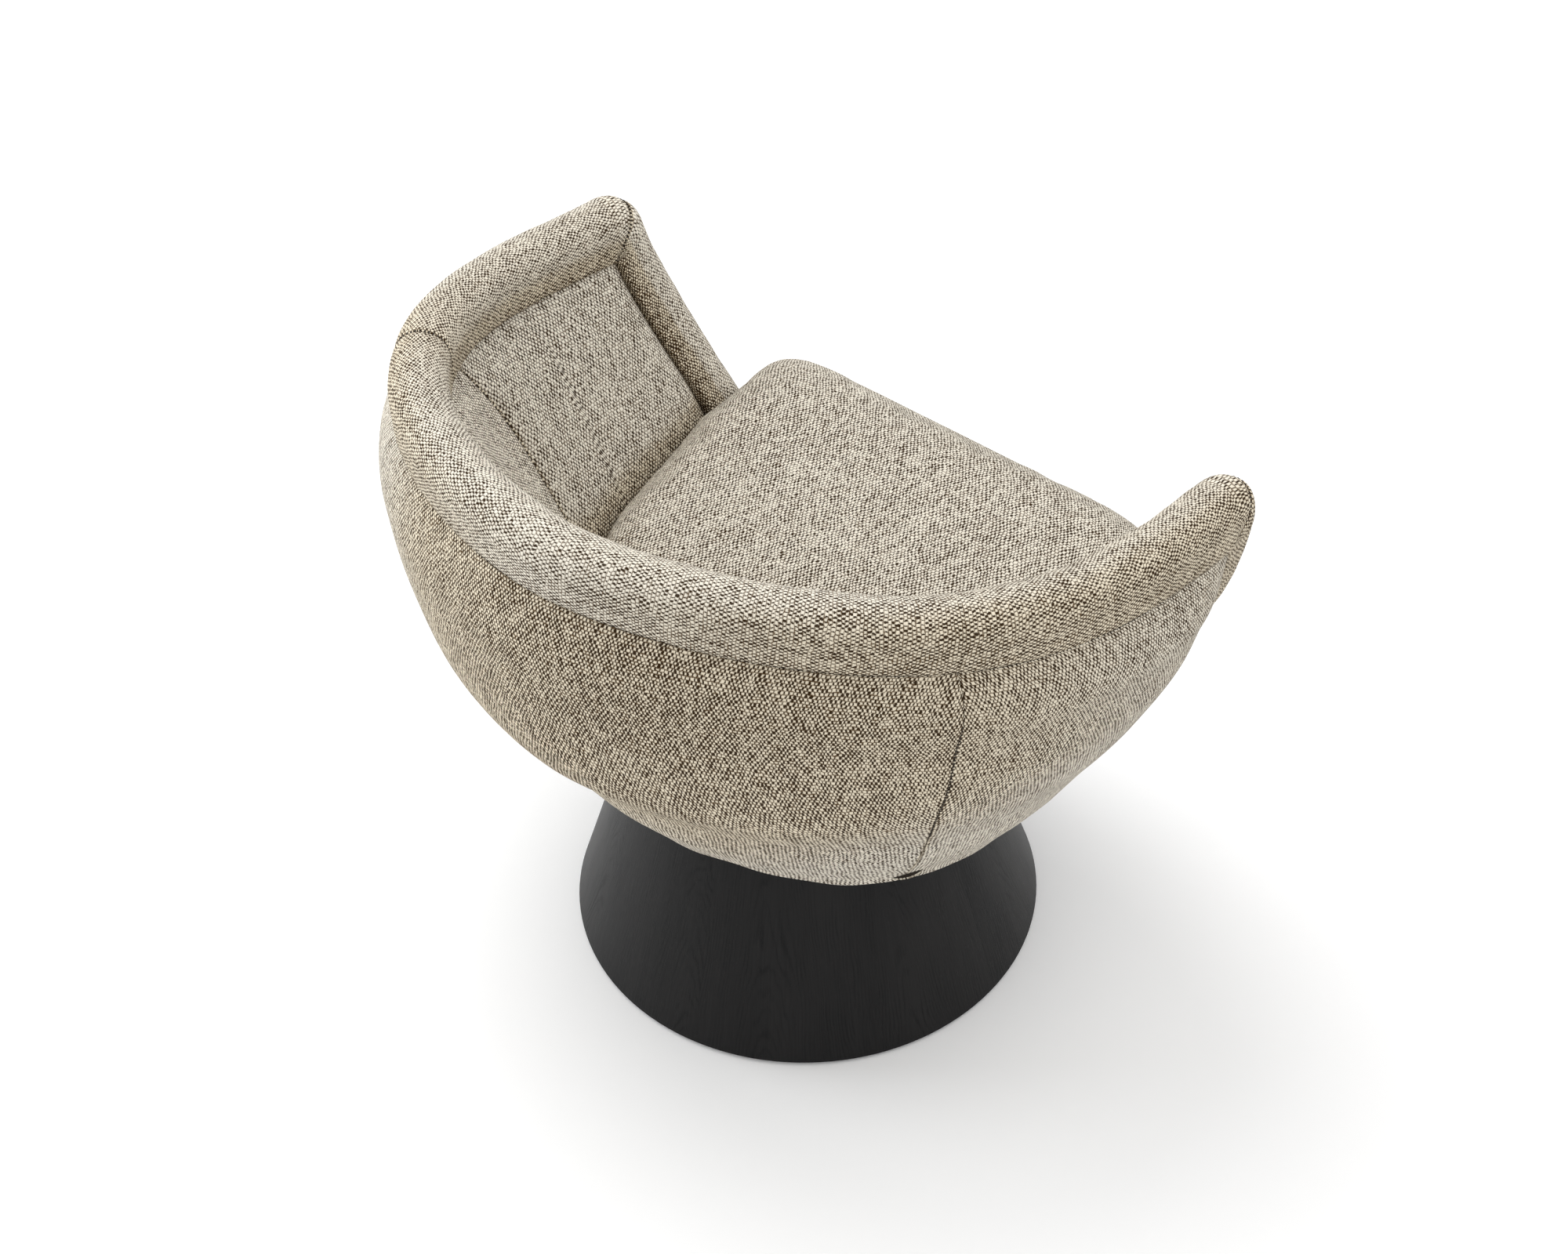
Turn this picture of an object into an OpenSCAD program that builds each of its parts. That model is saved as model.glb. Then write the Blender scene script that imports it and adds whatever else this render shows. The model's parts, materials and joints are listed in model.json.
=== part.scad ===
// Swivel tub chair: an upholstered bowl with a rolled rim on a black wooden cone.
// Millimetres. The origin is on the floor in the middle of the chair's depth and width, +Z is up,
// the sitter faces -Y and the sitter's left is +X. The modules work from the swivel axis,
// and footprint_y takes them to the origin.

/* [Rim roll] */
// Half of the width between the centre lines of the two arm rolls
rim_half_w = 354.5; // [340:0.5:370]
// Distance from the rim's widest line back to the middle of the back roll
rim_depth = 427; // [415:1:440]
// Height of the roll's centre line at the middle of the back
rim_back_z = 695; // [675:1:715]
// Height of the roll's centre line at the arm fronts
rim_front_z = 601.5; // [590:0.5:612]
// Radius of the roll's rounded top
roll_r = 27; // [25:0.5:29]
// Depth of the roll below its centre line, down to its seams
roll_drop = 27.6; // [26:0.2:28]
// How far each seam is drawn in from the roll's side
seam_tuck = 7; // [5:0.5:9]

/* [Arm fronts] */
// How far the arm fronts lie ahead of the swivel axis at the top
arm_front_y = 159; // [150:1:166]
// Inward lean of the arm front at its top, in mm per mm of fall
front_lean = 0.135; // [0.1:0.005:0.17]
// Forward rake of the arm front, in mm per mm of fall
front_rake = 0.18; // [0.14:0.01:0.2]
// Extra inward curl of the arm front, 200 mm below its top
front_curl = 44; // [38:1:48]

/* [Bowl] */
// Height of the bowl's underside above the floor
bowl_bottom_z = 256; // [253:1:260]
// Thickness of the padded outer and inner panels at their seams
panel_t = 11; // [9:0.5:11]
// Inward lean of the inner arm panels, in mm per mm of fall
arm_inner_lean = 0.517; // [0.5:0.005:0.53]
// Inward lean of the inner back panel, in mm per mm of fall
back_inner_lean = 0.34; // [0.33:0.005:0.36]
// How far the inner panels swell out between their seams
inner_puff = 9; // [6:0.5:10]
// Angle of the two sewn joints of the bowl from the middle of the back
seam_angle = 59; // [56:1:62]

/* [Seat] */
// Height of the crown of the seat cushion
seat_crown_z = 440; // [434:1:448]
// Height of the cushion's edge, where the crown meets its sides
seat_edge_z = 400; // [396:1:404]
// How far the cushion's front lies ahead of the swivel axis
seat_front_y = 293; // [285:1:298]
// Height of the seat cushion's flat underside
seat_base_z = 346; // [346:0.5:349]

/* [Frame] */
// Thickness of the plywood carrier board under the bowl
carrier_t = 18; // [15:1:20]
// Height of the plywood box frame that holds the springs
box_h = 60; // [56:1:60]
// Thickness of the box frame's rails
box_t = 22; // [18:1:24]
// Space between the box frame and the middle of each front post at its foot
box_post_gap = 6.5; // [6:0.5:10]
// Thickness of the upright ribs
rib_t = 18; // [15:1:20]
// Width of the laminated rail inside the rim
rail_w = 16; // [14:0.5:16]
// Height of the laminated rail inside the rim
rail_h = 30; // [26:1:32]
// Number of zigzag springs
spring_count = 4; // [3:1:4]
// Wire diameter of the zigzag springs
spring_wire = 3.8; // [3.2:0.1:4]

/* [Base cone] */
// Diameter of the cone at its lower edge
cone_floor_d = 480; // [460:1:500]
// Diameter of the cone at its upper edge
cone_top_d = 334; // [324:1:344]
// Height of the cone's upper edge above the floor
cone_top_z = 236; // [230:1:236]
// Wall thickness of the veneered cone
cone_wall = 12; // [10:0.5:14]
// Thickness of the board that closes the cone's top
top_board_t = 18; // [16:1:22]
// Height of the glides that carry the cone clear of the floor
glide_h = 3; // [2.5:0.5:4]

/* [Swivel] */
// Side of the square swivel plates
plate_w = 180; // [170:1:190]
// Thickness of the swivel plates
plate_t = 3; // [2.5:0.5:3]
// Diameter of the bearing balls
ball_d = 6; // [5:0.5:6]
// Number of bearing balls
ball_count = 24; // [18:1:28]
// Radius of the circle on which the balls run
race_r = 60; // [55:1:62]
// Diameter of the pivot bolt's shank
pivot_d = 12; // [10:1:14]

/* [Hidden] */
$fn = 96;

// Colours
FABRIC = [0.72, 0.68, 0.61];
FABRIC_IN = [0.69, 0.65, 0.58];
PLY = [0.80, 0.66, 0.45];
BLACK_OAK = [0.10, 0.10, 0.11];
STEEL = [0.70, 0.71, 0.73];
FELT = [0.30, 0.30, 0.31];

// Plan of the rim: how far ahead of the axis it is widest, and the powers of its two coordinates
rim_widest_y = 117;
RIM_POWER_X = 1.21;
RIM_POWER_Y = 0.64;
// Form of the bowl below the rim seam: its width and its depth, as shares of the seam's own,
// at even steps from the seam down to the underside
SIDE_FORM = [1.115, 1.055, 1.02, 0.955, 0.87, 0.785, 0.68];
BACK_FORM = [1.067, 1.09, 1.08, 1.03, 0.885, 0.77, 0.627];
// Share of that way over which the bowl draws in to the seam
PINCH_SHARE = 0.16;
// Power of the curve along which the bowl draws in towards the arm front
FRONT_DRAW = 2.2;
// Fullness of the bowl between the widest place and the arm front
front_fullness = 8;
// How far the outer panels turn in at their upright edges
panel_tuck = 2;

// Fall over which the arm front's curl is measured
curl_fall = 200;

// Clearances
seam_gap = 0.3;
glue_gap = 0.2;
turn_gap = 0.3;
// How much fuller the roll is at the sewn mitre of the arm front
corner_lift = 0.2;

// Places that follow from the sizes above
rim_slope = (rim_back_z - rim_front_z) / (rim_depth - rim_widest_y + arm_front_y);
seam_half = roll_r - seam_tuck;
corner_r = roll_drop + 1;
carrier_z = bowl_bottom_z - 1;
carrier_top_z = carrier_z + carrier_t;
box_top_z = carrier_top_z + box_h;
upper_plate_z = carrier_z - plate_t;
lower_plate_z = cone_top_z;
ball_z = (lower_plate_z + upper_plate_z + plate_t) / 2 + 0.5;

// How far the cushion's front bellies out, and its lower edge draws back
seat_belly = 2;
seat_tuck_in = 10;
// How far the middle of the chair's depth lies behind the swivel axis
footprint_y = round(((rim_depth - rim_widest_y + seam_half) * max(BACK_FORM) - seat_front_y - seat_belly) / 2);

function mix(a, b, t) = a + (b - a) * t;
function unit(v) = v / norm(v);
function knot(p, i) =
    i < 0 ? 2 * p[0] - p[1]
    : i > len(p) - 1 ? 2 * p[len(p) - 1] - p[len(p) - 2]
    : p[i];
// Smooth curve through evenly spaced values
function smooth(p, t) =
    let (n = len(p) - 1, s = min(max(t, 0), 1) * n, i = min(floor(s), n - 1), f = s - i,
         a = knot(p, i - 1), b = knot(p, i), c = knot(p, i + 1), d = knot(p, i + 2))
    b + 0.5 * f * (c - a + f * (2 * a - 5 * b + 4 * c - d + f * (3 * (b - c) + d - a)));
// 0 at an edge, rising to 1 over a width
function swell(s, width) = 1 - pow(max(0, 1 - s / width), 2);

// Rim: centre line and frames. A ring is [centre, sideways, upwards].
function rim_z(y) = rim_front_z + (y + arm_front_y) * rim_slope;
function rim_centre(th) =
    let (x = sign(th) * rim_half_w * pow(abs(sin(th)), RIM_POWER_X),
         y = rim_depth * pow(cos(th), RIM_POWER_Y) - rim_widest_y)
    [x, y, rim_z(y)];
function ring(c, t, side_hint) =
    let (l = unit(side_hint - t * (side_hint * t)))
    [c, l, cross(t, l)];
function rim_ring(th) =
    let (t = abs(th) > 89 ? unit([0, -sign(th), -sign(th) * rim_slope])
             : unit(rim_centre(th + 1) - rim_centre(th - 1)))
    ring(rim_centre(th), t, cross([0, 0, 1], t));
// Left arm: straight to the corner, round it, and down the arm front
ARM_DIR = unit([0, -1, -rim_slope]);
TIP = [rim_half_w, -arm_front_y, rim_front_z];
function front_centre(d) =
    TIP - [front_lean * d + front_curl * pow(d / curl_fall, 2), front_rake * d, d];
function front_lean_at(d) = front_lean + 2 * front_curl * d / pow(curl_fall, 2);
function front_dir(d) = unit(-[front_lean_at(d), front_rake, 1]);
function front_ring(d) = ring(front_centre(d), front_dir(d), cross([0, -1, 0], front_dir(d)));
FRONT_DIR = front_dir(0);
corner_turn = acos(ARM_DIR * FRONT_DIR);
corner_set = corner_r * tan(corner_turn / 2);
CORNER_SIDE = unit(cross(ARM_DIR, FRONT_DIR));
CORNER_UP = cross(ARM_DIR, CORNER_SIDE);
CORNER_PIVOT = TIP - ARM_DIR * corner_set - CORNER_UP * corner_r;
corner_start_y = (TIP - ARM_DIR * corner_set).y;
function corner_ring(phi) =
    ring(CORNER_PIVOT + corner_r * (CORNER_UP * cos(phi) + ARM_DIR * sin(phi)),
         ARM_DIR * cos(phi) - CORNER_UP * sin(phi),
         mix([1, 0, 0], front_ring(corner_set)[1], phi / corner_turn));
function corner_lift_at(phi) = 1 + corner_lift * sin(180 * phi / corner_turn);
function full_corner_ring(phi) = concat(corner_ring(phi), [corner_lift_at(phi)]);
// Where a panel's edge starts down the arm front, on the roll's outer (1) or inner (-1) side
function edge_start(side) = corner_set - side * seam_half * front_lean_at(corner_set);
function arm_ring(y) = ring([rim_half_w, y, rim_z(y)], ARM_DIR, [1, 0, 0]);
function at(r, side, up) = r[0] + r[1] * side + r[2] * up;

// Half-turn of the roll's top, then its sides drawn in to the two seams
ROLL_SECTION = concat(
    [for (a = [0:20:180]) [roll_r * cos(a), roll_r * sin(a)]],
    [[-roll_r * 0.985, -0.38 * roll_drop], [-roll_r * 0.9, -0.76 * roll_drop], [-seam_half, -roll_drop],
     [seam_half, -roll_drop], [roll_r * 0.9, -0.76 * roll_drop], [roll_r * 0.985, -0.38 * roll_drop]]);
RAIL_SECTION = [
    [rail_w / 2, -roll_drop - seam_gap], [-rail_w / 2, -roll_drop - seam_gap],
    [-rail_w / 2, -roll_drop - rail_h], [rail_w / 2, -roll_drop - rail_h]];

// The notch that a rib has for the rail
NOTCH_SECTION = [
    [rail_w / 2 + seam_gap, -roll_drop], [-rail_w, -roll_drop],
    [-rail_w, -roll_drop - rail_h - seam_gap], [rail_w / 2 + seam_gap, -roll_drop - rail_h - seam_gap]];

// Solid along a row of rings with one section. A ring's fourth value lifts the section's top.
module sweep(rings, section) {
    n = len(section);
    m = len(rings);
    points = [for (r = rings) let (lift = len(r) > 3 ? r[3] : 1) for (q = section)
        at(r, q[0], q[1] > 0 ? q[1] * lift : q[1])];
    sides = [for (i = [0:m - 2], j = [0:n - 1]) let (k = (j + 1) % n)
        each [[i * n + j, (i + 1) * n + k, i * n + k], [i * n + j, (i + 1) * n + j, (i + 1) * n + k]]];
    caps = [[for (j = [0:n - 1]) j], [for (j = [n - 1:-1:0]) (m - 1) * n + j]];
    polyhedron(points, concat(sides, caps), convexity = 6);
}

// Solid between an outside and an inside grid of points, each a list of columns that run downwards
module slab(outside, inside) {
    m = len(outside);
    n = len(outside[0]);
    k = m * n;
    skin = [for (i = [0:m - 2], j = [0:n - 2]) let (a = i * n + j, b = a + n)
        each [[a, b + 1, b], [a, a + 1, b + 1], [k + a, k + b, k + b + 1], [k + a, k + b + 1, k + a + 1]]];
    rows = [for (i = [0:m - 2]) let (a = i * n, b = a + n, c = a + n - 1, d = c + n)
        each [[a, b, k + b], [a, k + b, k + a], [c, k + d, d], [c, k + c, k + d]]];
    ends = [for (j = [0:n - 2]) let (a = j, c = k - n + j)
        each [[a, k + a + 1, a + 1], [a, k + a, k + a + 1], [c, c + 1, k + c + 1], [c, k + c + 1, k + c]]];
    polyhedron(concat([for (c = outside) each c], [for (c = inside) each c]),
               concat(skin, rows, ends), convexity = 8);
}

// Bowl: outside surface, by angle from the middle of the back and share of the way down
side_pinch = SIDE_FORM[0] - 1;
back_pinch = BACK_FORM[0] - 1;
function pinch(v) = pow(max(0, 1 - v / PINCH_SHARE), 2);
function side_form(v) = smooth(SIDE_FORM, v) - side_pinch * pinch(v);
function back_form(v) = smooth(BACK_FORM, v) - back_pinch * pinch(v);
side_angle = acos(pow(rim_widest_y / (rim_depth + seam_half), 1 / RIM_POWER_Y));
function bowl_back(th, v, inset) =
    let (r = rim_ring(th), q = at(r, seam_half, -roll_drop - seam_gap), l = unit([r[1].x, r[1].y, 0]))
    [q.x * side_form(v), q.y * back_form(v), mix(q.z, bowl_bottom_z, v)] - l * inset;
front_foot_d = rim_front_z - bowl_bottom_z - seam_half * 2 / 3;
function bowl_edge(v) =
    let (d = mix(edge_start(1), front_foot_d, v))
    at(front_ring(d), seam_half, -roll_drop - seam_gap);
function bowl_front(t, v, inset) =
    let (s = bowl_back(side_angle, v, 0), e = bowl_edge(v), dx = s.x + front_fullness - e.x,
         x = s.x + front_fullness * t - dx * pow(t, FRONT_DRAW), y = mix(s.y, e.y, t),
         z = max(mix(s.z, e.z, t), bowl_bottom_z),
         slope = front_fullness - dx * FRONT_DRAW * pow(t, FRONT_DRAW - 1), l = unit([s.y - e.y, slope, 0]))
    [x, y, z] - l * inset;
// One column number runs round the half: 0 at the back, 1 at the side, 2 at the arm front
function bowl(u, v, inset) =
    abs(u) <= 1 ? bowl_back(u * side_angle, v, inset) : bowl_front(u - 1, v, inset);
seam_u = seam_angle / side_angle;
cut_u = seam_gap / 2 / (rim_depth * PI / 180) / side_angle;

// Inside surface of the tub, by the same column number and a share of the way down
inner_bottom_z = seat_base_z;
function lean_in(q, z) =
    [q.x * (1 - arm_inner_lean * (q.z - z) / (rim_half_w - seam_half)),
     q.y * (1 - back_inner_lean * (q.z - z) / (rim_depth - rim_widest_y - seam_half)), z];
function inner_back(th, w, inset) =
    let (r = rim_ring(th), q = at(r, -seam_half, -roll_drop - seam_gap), l = unit([r[1].x, r[1].y, 0]))
    lean_in(q, mix(q.z, inner_bottom_z, w)) - l * inset;
inner_foot_d = rim_front_z - inner_bottom_z + seam_half / 2;
function inner_edge(w) =
    let (d = mix(edge_start(-1), inner_foot_d, w))
    at(front_ring(d), -seam_half, -roll_drop - 2 * seam_gap);
function inner_front(t, w, inset) =
    let (s = inner_back(side_angle, w, 0), e = inner_edge(w), l = unit([s.y - e.y, e.x - s.x, 0]))
    [mix(s.x, e.x, t), mix(s.y, e.y, t), max(mix(s.z, e.z, t), inner_bottom_z)] - l * inset;
function inner(u, w, inset) =
    abs(u) <= 1 ? inner_back(u * side_angle, w, inset) : inner_front(u - 1, w, inset);
// The inner joints lie ahead of the outer ones and run forward as they leave the roll
function inner_seam_u(w) = (seam_angle + 6 + 5 * swell(w, 0.4)) / side_angle;
function puff(s, w) = inner_puff * swell(s, 0.14) * swell(1 - s, 0.14) * swell(w, 0.22);

ROWS = [0, 0.03, 0.07, 0.13, 0.22, 0.32, 0.42, 0.52, 0.62, 0.72, 0.82, 0.91, 1];
IN_ROWS = [0, 0.05, 0.12, 0.22, 0.36, 0.52, 0.68, 0.84, 1];
// Columns crowd towards the two ends, where the sewn edges turn in
function spread(i, n) = let (s = i / n) s + 0.07 * sin(-360 * s);
module outer_panel(from_u, to_u, columns) {
    function tuck(s) = panel_tuck * (1 - swell(s, 0.1) * swell(1 - s, 0.1));
    slab([for (i = [0:columns]) let (s = spread(i, columns), u = mix(from_u, to_u, s))
              [for (v = ROWS) bowl(u, v, tuck(s))]],
         [for (i = [0:columns]) let (s = spread(i, columns), u = mix(from_u, to_u, s))
              [for (v = ROWS) bowl(u, v, panel_t)]]);
}
module outer_side_panel() {
    color(FABRIC) outer_panel(seam_u + cut_u, 2, 14);
}
module outer_panel_back() {
    color(FABRIC) outer_panel(-seam_u + cut_u, seam_u - cut_u, 20);
}
module inner_panel(side, columns) {
    function from_u(w) = side ? inner_seam_u(w) + cut_u : -inner_seam_u(w) + cut_u;
    function to_u(w) = side ? 2 : inner_seam_u(w) - cut_u;
    slab([for (i = [0:columns]) let (s = spread(i, columns))
              [for (w = IN_ROWS) inner(mix(from_u(w), to_u(w), s), w, -panel_t)]],
         [for (i = [0:columns]) let (s = spread(i, columns))
              [for (w = IN_ROWS) inner(mix(from_u(w), to_u(w), s), w, puff(s, w))]]);
}
module inner_side_panel() {
    color(FABRIC_IN) inner_panel(true, 12);
}
module inner_panel_back() {
    color(FABRIC_IN) inner_panel(false, 16);
}

// What lies outside the bowl's cavity from one column to another, to fit the frame's parts to it
module beyond_cavity(from_u, to_u, columns) {
    reach = 30;
    slab([for (i = [0:columns]) [for (v = ROWS) bowl(mix(from_u, to_u, i / columns), v, -reach)]],
         [for (i = [0:columns]) [for (v = ROWS) bowl(mix(from_u, to_u, i / columns), v, panel_t + 3 * seam_gap)]]);
}

// Rolls along the rim and down the arm fronts
cut_angle = cut_u * side_angle;
mitre_cut = seam_gap / 2 / corner_r * 180 / PI;
module roll_back() {
    rings = 22;
    first = -seam_angle + cut_angle;
    color(FABRIC)
        sweep([for (i = [0:rings]) rim_ring(mix(first, -first, i / rings))], ROLL_SECTION);
}
module roll_arm() {
    rings = 8;
    bends = 4;
    color(FABRIC) sweep(concat(
        [for (i = [0:rings]) rim_ring(mix(seam_angle + cut_angle, 90, i / rings))],
        [arm_ring(mix(-rim_widest_y, corner_start_y, 0.5)), arm_ring(corner_start_y)],
        [for (i = [1:bends]) full_corner_ring(i / bends * (corner_turn / 2 - mitre_cut))]),
        ROLL_SECTION);
}
roll_foot_reach = rim_half_w;
module roll_front() {
    rings = 13;
    bends = 4;
    foot_d = rim_front_z - bowl_bottom_z + roll_r;
    color(FABRIC) difference() {
        sweep(concat(
            [for (i = [0:bends - 1]) full_corner_ring(mix(corner_turn / 2 + mitre_cut, corner_turn, i / bends))],
            [for (i = [0:rings]) front_ring(mix(corner_set, foot_d, i / rings))]),
            ROLL_SECTION);
        translate([0, -2 * roll_foot_reach, bowl_bottom_z - roll_foot_reach])
            cube([2 * roll_foot_reach, 2 * roll_foot_reach, roll_foot_reach]);
    }
}
// The rail stops short of the posts, which stand behind the arm fronts
post_d_top = corner_set + 6;
rail_end_y = at(front_ring(post_d_top), 0, -roll_drop - rail_h).y + 6
    - (roll_drop + rail_h) * sin(atan(rim_slope));
module rail_body(section) {
    rings = 14;
    half = concat(
        [for (i = [0:rings]) rim_ring(i / rings * 90)],
        [arm_ring(rail_end_y)]);
    rail_half = [for (r = half) if (r[0].y > rail_end_y - 0.01) r];
    mirrored = [for (i = [len(rail_half) - 1:-1:1]) let (r = rail_half[i])
        [[-r[0].x, r[0].y, r[0].z], [-r[1].x, r[1].y, r[1].z], [-r[2].x, r[2].y, r[2].z]]];
    sweep(concat(mirrored, rail_half), section);
}
module rim_rail() {
    color(PLY) difference() {
        rail_body(RAIL_SECTION);
        beyond_cavity(0.9, 2, 12);
        mirror([1, 0, 0]) beyond_cavity(0.9, 2, 12);
    }
}
module front_post() {
    rings = 10;
    intersection() {
        sweep([for (i = [0:rings]) front_ring(mix(post_d_top, front_foot_d + 20, i / rings))], RAIL_SECTION);
        translate([0, -rim_half_w, carrier_top_z + glue_gap]) cube([2 * rim_half_w, rim_half_w, rim_front_z]);
    }
}
module front_posts() {
    color(PLY) {
        front_post();
        mirror([1, 0, 0]) front_post();
    }
}

// Outline of the bowl's underside, drawn in by an inset, with its front edge put forward
roll_foot = front_centre(rim_front_z - bowl_bottom_z);
function bowl_outline(inset, ahead) =
    let (half = concat([for (i = [0:14]) bowl(i / 14, 1, inset)],
                       [for (i = [1:6]) bowl(1 + i / 6 * 0.92, 1, inset)],
                       [[roll_foot.x - roll_r, roll_foot.y + roll_drop + 4 - ahead, 0],
                        [roll_foot.x - 1.9 * roll_r, roll_foot.y + 15 - ahead, 0]]))
    concat([for (p = half) [p.x, p.y]], [for (i = [len(half) - 1:-1:1]) [-half[i].x, half[i].y]]);
module carrier_board() {
    color(PLY) difference() {
        translate([0, 0, carrier_z]) linear_extrude(carrier_t) polygon(bowl_outline(panel_t + 1, 0));
        translate([0, 0, carrier_z - 1]) cylinder(d = nut_well_d, h = carrier_t + 2);
        plate_corners(upper_bolt_pitch) translate([0, 0, carrier_z - 1])
            cylinder(d = tee_d + 2 * glue_gap, h = carrier_t + 2);
        box_screw_places() {
            translate([0, 0, -carrier_t - 1]) cylinder(d = box_screw_d + 2 * glue_gap, h = carrier_t + 2);
            translate([0, 0, -carrier_t - 1]) cylinder(d = 2 * box_screw_d + 2 * glue_gap, h = 1 + box_head_h + glue_gap);
        }
    }
}

// Box frame of plywood rails, with its corners cut off clear of the arm fronts and the bowl
box_half_w = front_centre(rim_front_z - carrier_top_z).x - box_post_gap;
box_front_y = seat_front_y - 78;
box_back_y = (rim_depth - rim_widest_y) * 0.467;
function box_outline(inset) =
    let (x = box_half_w - inset, f = -box_front_y + inset, b = box_back_y - inset, c = 65 - inset * 0.41,
         e = 85 - inset * 0.59, g = 62 - inset * 0.4, h = 62 - inset * 0.6)
    [[g - x, f], [x - g, f], [x, f + h], [x, b - e], [x - c, b], [c - x, b], [-x, b - e], [-x, f + h]];
module box_frame() {
    color(PLY) difference() {
        translate([0, 0, carrier_top_z]) linear_extrude(box_h) difference() {
            polygon(box_outline(0));
            polygon(box_outline(box_t));
        }
        box_screw_places() translate([0, 0, -1])
            cylinder(d = box_screw_d + 2 * glue_gap, h = box_screw_l - carrier_t + 1 + glue_gap);
    }
}
box_screw_d = 5;
box_screw_l = 50;
box_head_h = 2.6;
module box_screw_places() {
    front_x = box_half_w * 0.65;
    back_x = box_half_w * 0.49;
    for (p = [[-front_x, box_t / 2 - box_front_y], [front_x, box_t / 2 - box_front_y],
              [-back_x, box_back_y - box_t / 2], [back_x, box_back_y - box_t / 2],
              [box_t / 2 - box_half_w, -60], [box_half_w - box_t / 2, -60]])
        translate([p.x, p.y, carrier_top_z]) children();
}
module box_screws() {
    color(STEEL) box_screw_places() union() {
        translate([0, 0, -carrier_t]) cylinder(d = 2 * box_screw_d, h = box_head_h);
        translate([0, 0, 1 - carrier_t]) cylinder(d = box_screw_d, h = box_screw_l - 1);
    }
}

// Upright ribs of the bowl, cut to the cavity between the outer and the inner panels
rib_depth = 50;
rail_under = roll_drop + rail_h;
function radius_at(p) = norm([p.x, p.y]);
module rib(th) {
    u = th / side_angle;
    azimuth = atan2(bowl(u, 0.4, 0).x, bowl(u, 0.4, 0).y);
    fall = bowl(u, 0, 0).z - bowl_bottom_z;
    top_z = rim_centre(th).z - rail_under;
    foot_v = 1 - (carrier_top_z - 1 - bowl_bottom_z) / fall;
    top_v = 1 - (top_z - bowl_bottom_z) / fall;
    steps = 8;
    over = 4;
    outer_edge = [for (i = [0:steps]) let (p = bowl(u, mix(foot_v, top_v, i / steps), panel_t - over))
        [radius_at(p), p.z]];
    top_in = radius_at(rim_centre(th)) - rail_w / 2;
    inner_edge = [for (i = [steps - 1:-1:0])
        [mix(outer_edge[i][0] - rib_depth, top_in, pow(i / steps, 1.3)), outer_edge[i][1]]];
    rotate([0, 0, 90 - azimuth]) rotate([90, 0, 0])
        translate([0, 0, -rib_t / 2]) linear_extrude(rib_t)
            polygon(concat(outer_edge, [[top_in, outer_edge[steps][1] + over]], inner_edge));
}
// A rib seated on the board, in the notch of the rail, against the box frame and the outer panel
module fitted_rib(th) {
    difference() {
        rib(th);
        translate([0, 0, carrier_top_z - 1]) linear_extrude(box_h + 1 + glue_gap) polygon(box_outline(-glue_gap));
        translate([-2 * rim_half_w, -2 * rim_half_w, carrier_top_z - carrier_t + glue_gap])
            cube([4 * rim_half_w, 4 * rim_half_w, carrier_t]);
        rail_body(NOTCH_SECTION);
        beyond_cavity(th / side_angle - 0.2, th / side_angle + 0.2, 6);
    }
}
back_rib_angle = 28;
module back_ribs() {
    color(PLY) for (side = [-1:1]) fitted_rib(side * back_rib_angle);
}
module rib_pair(th) {
    fitted_rib(th);
    mirror([1, 0, 0]) fitted_rib(th);
}
module corner_ribs() {
    color(PLY) rib_pair(seam_angle);
}
module side_ribs() {
    color(PLY) rib_pair(side_angle);
}

// Seat springs, clips, pad and cushion
spring_pitch = 31;
spring_half = 24;
clip_strap = 1.2;
curl_r = spring_wire / 2 + seam_gap;
spring_z = box_top_z + curl_r + clip_strap + glue_gap / 2;
pad_t = 3.5;
pad_z = seat_base_z - seam_gap - pad_t;
spring_rise = pad_z - seam_gap - spring_wire / 2 - spring_z;
spring_start_y = box_t / 2 - box_front_y;
spring_bars = floor((box_back_y + box_front_y - box_t) / spring_pitch) + 1;
spring_run = (box_back_y + box_front_y - box_t) / (spring_bars - 1);
module seat_spring(x) {
    r = spring_run / 2;
    reach = spring_half - r;
    plan = [for (k = [0:spring_bars - 1]) let (s = k % 2 == 0 ? 1 : -1, y = spring_start_y + k * spring_run)
        each concat([[x - s * reach, y], [x + s * reach, y]],
                    k == spring_bars - 1 ? []
                    : [for (a = [45:45:135]) [x + s * (reach + r * sin(a)), y + r - r * cos(a)]])];
    last = len(plan) - 1;
    length_y = spring_run * (spring_bars - 1);
    path = [for (p = plan) let (f = min(max((p.y - spring_start_y) / length_y, 0), 1))
        [p.x, p.y, spring_z + spring_rise * sin(180 * f)]];
    rings = [for (i = [0:last])
        let (t = unit(path[min(i + 1, last)] - path[max(i - 1, 0)]))
        ring(path[i], t, cross([0, 0, 1], t))];
    sweep(rings, [for (a = [0:60:300]) spring_wire / 2 * [cos(a), sin(a)]]);
}
// The outer springs lie well inside the box frame's cut corners
spring_reach = box_half_w * 0.63;
function spring_x(i) = (i - (spring_count - 1) / 2) * 2 * spring_reach / (spring_count - 1);
module seat_springs() {
    color(STEEL) for (i = [0:spring_count - 1]) seat_spring(spring_x(i));
}
clip_w = 13;
clip_l = 9;
module spring_clip() {
    // A strap whose tongue lies on the rail and whose end curls over the wire
    rotate([90, 0, 90]) translate([0, 0, -clip_w / 2]) linear_extrude(clip_w) {
        difference() {
            circle(r = curl_r + clip_strap, $fn = 48);
            circle(r = curl_r, $fn = 48);
            translate([-2 * curl_r, -2 * curl_r]) square([2 * curl_r, 2 * curl_r]);
        }
        translate([-clip_l, curl_r]) square([clip_l, clip_strap]);
        translate([-clip_l, -curl_r - clip_strap]) square([clip_strap, 2 * (curl_r + clip_strap)]);
    }
}
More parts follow.
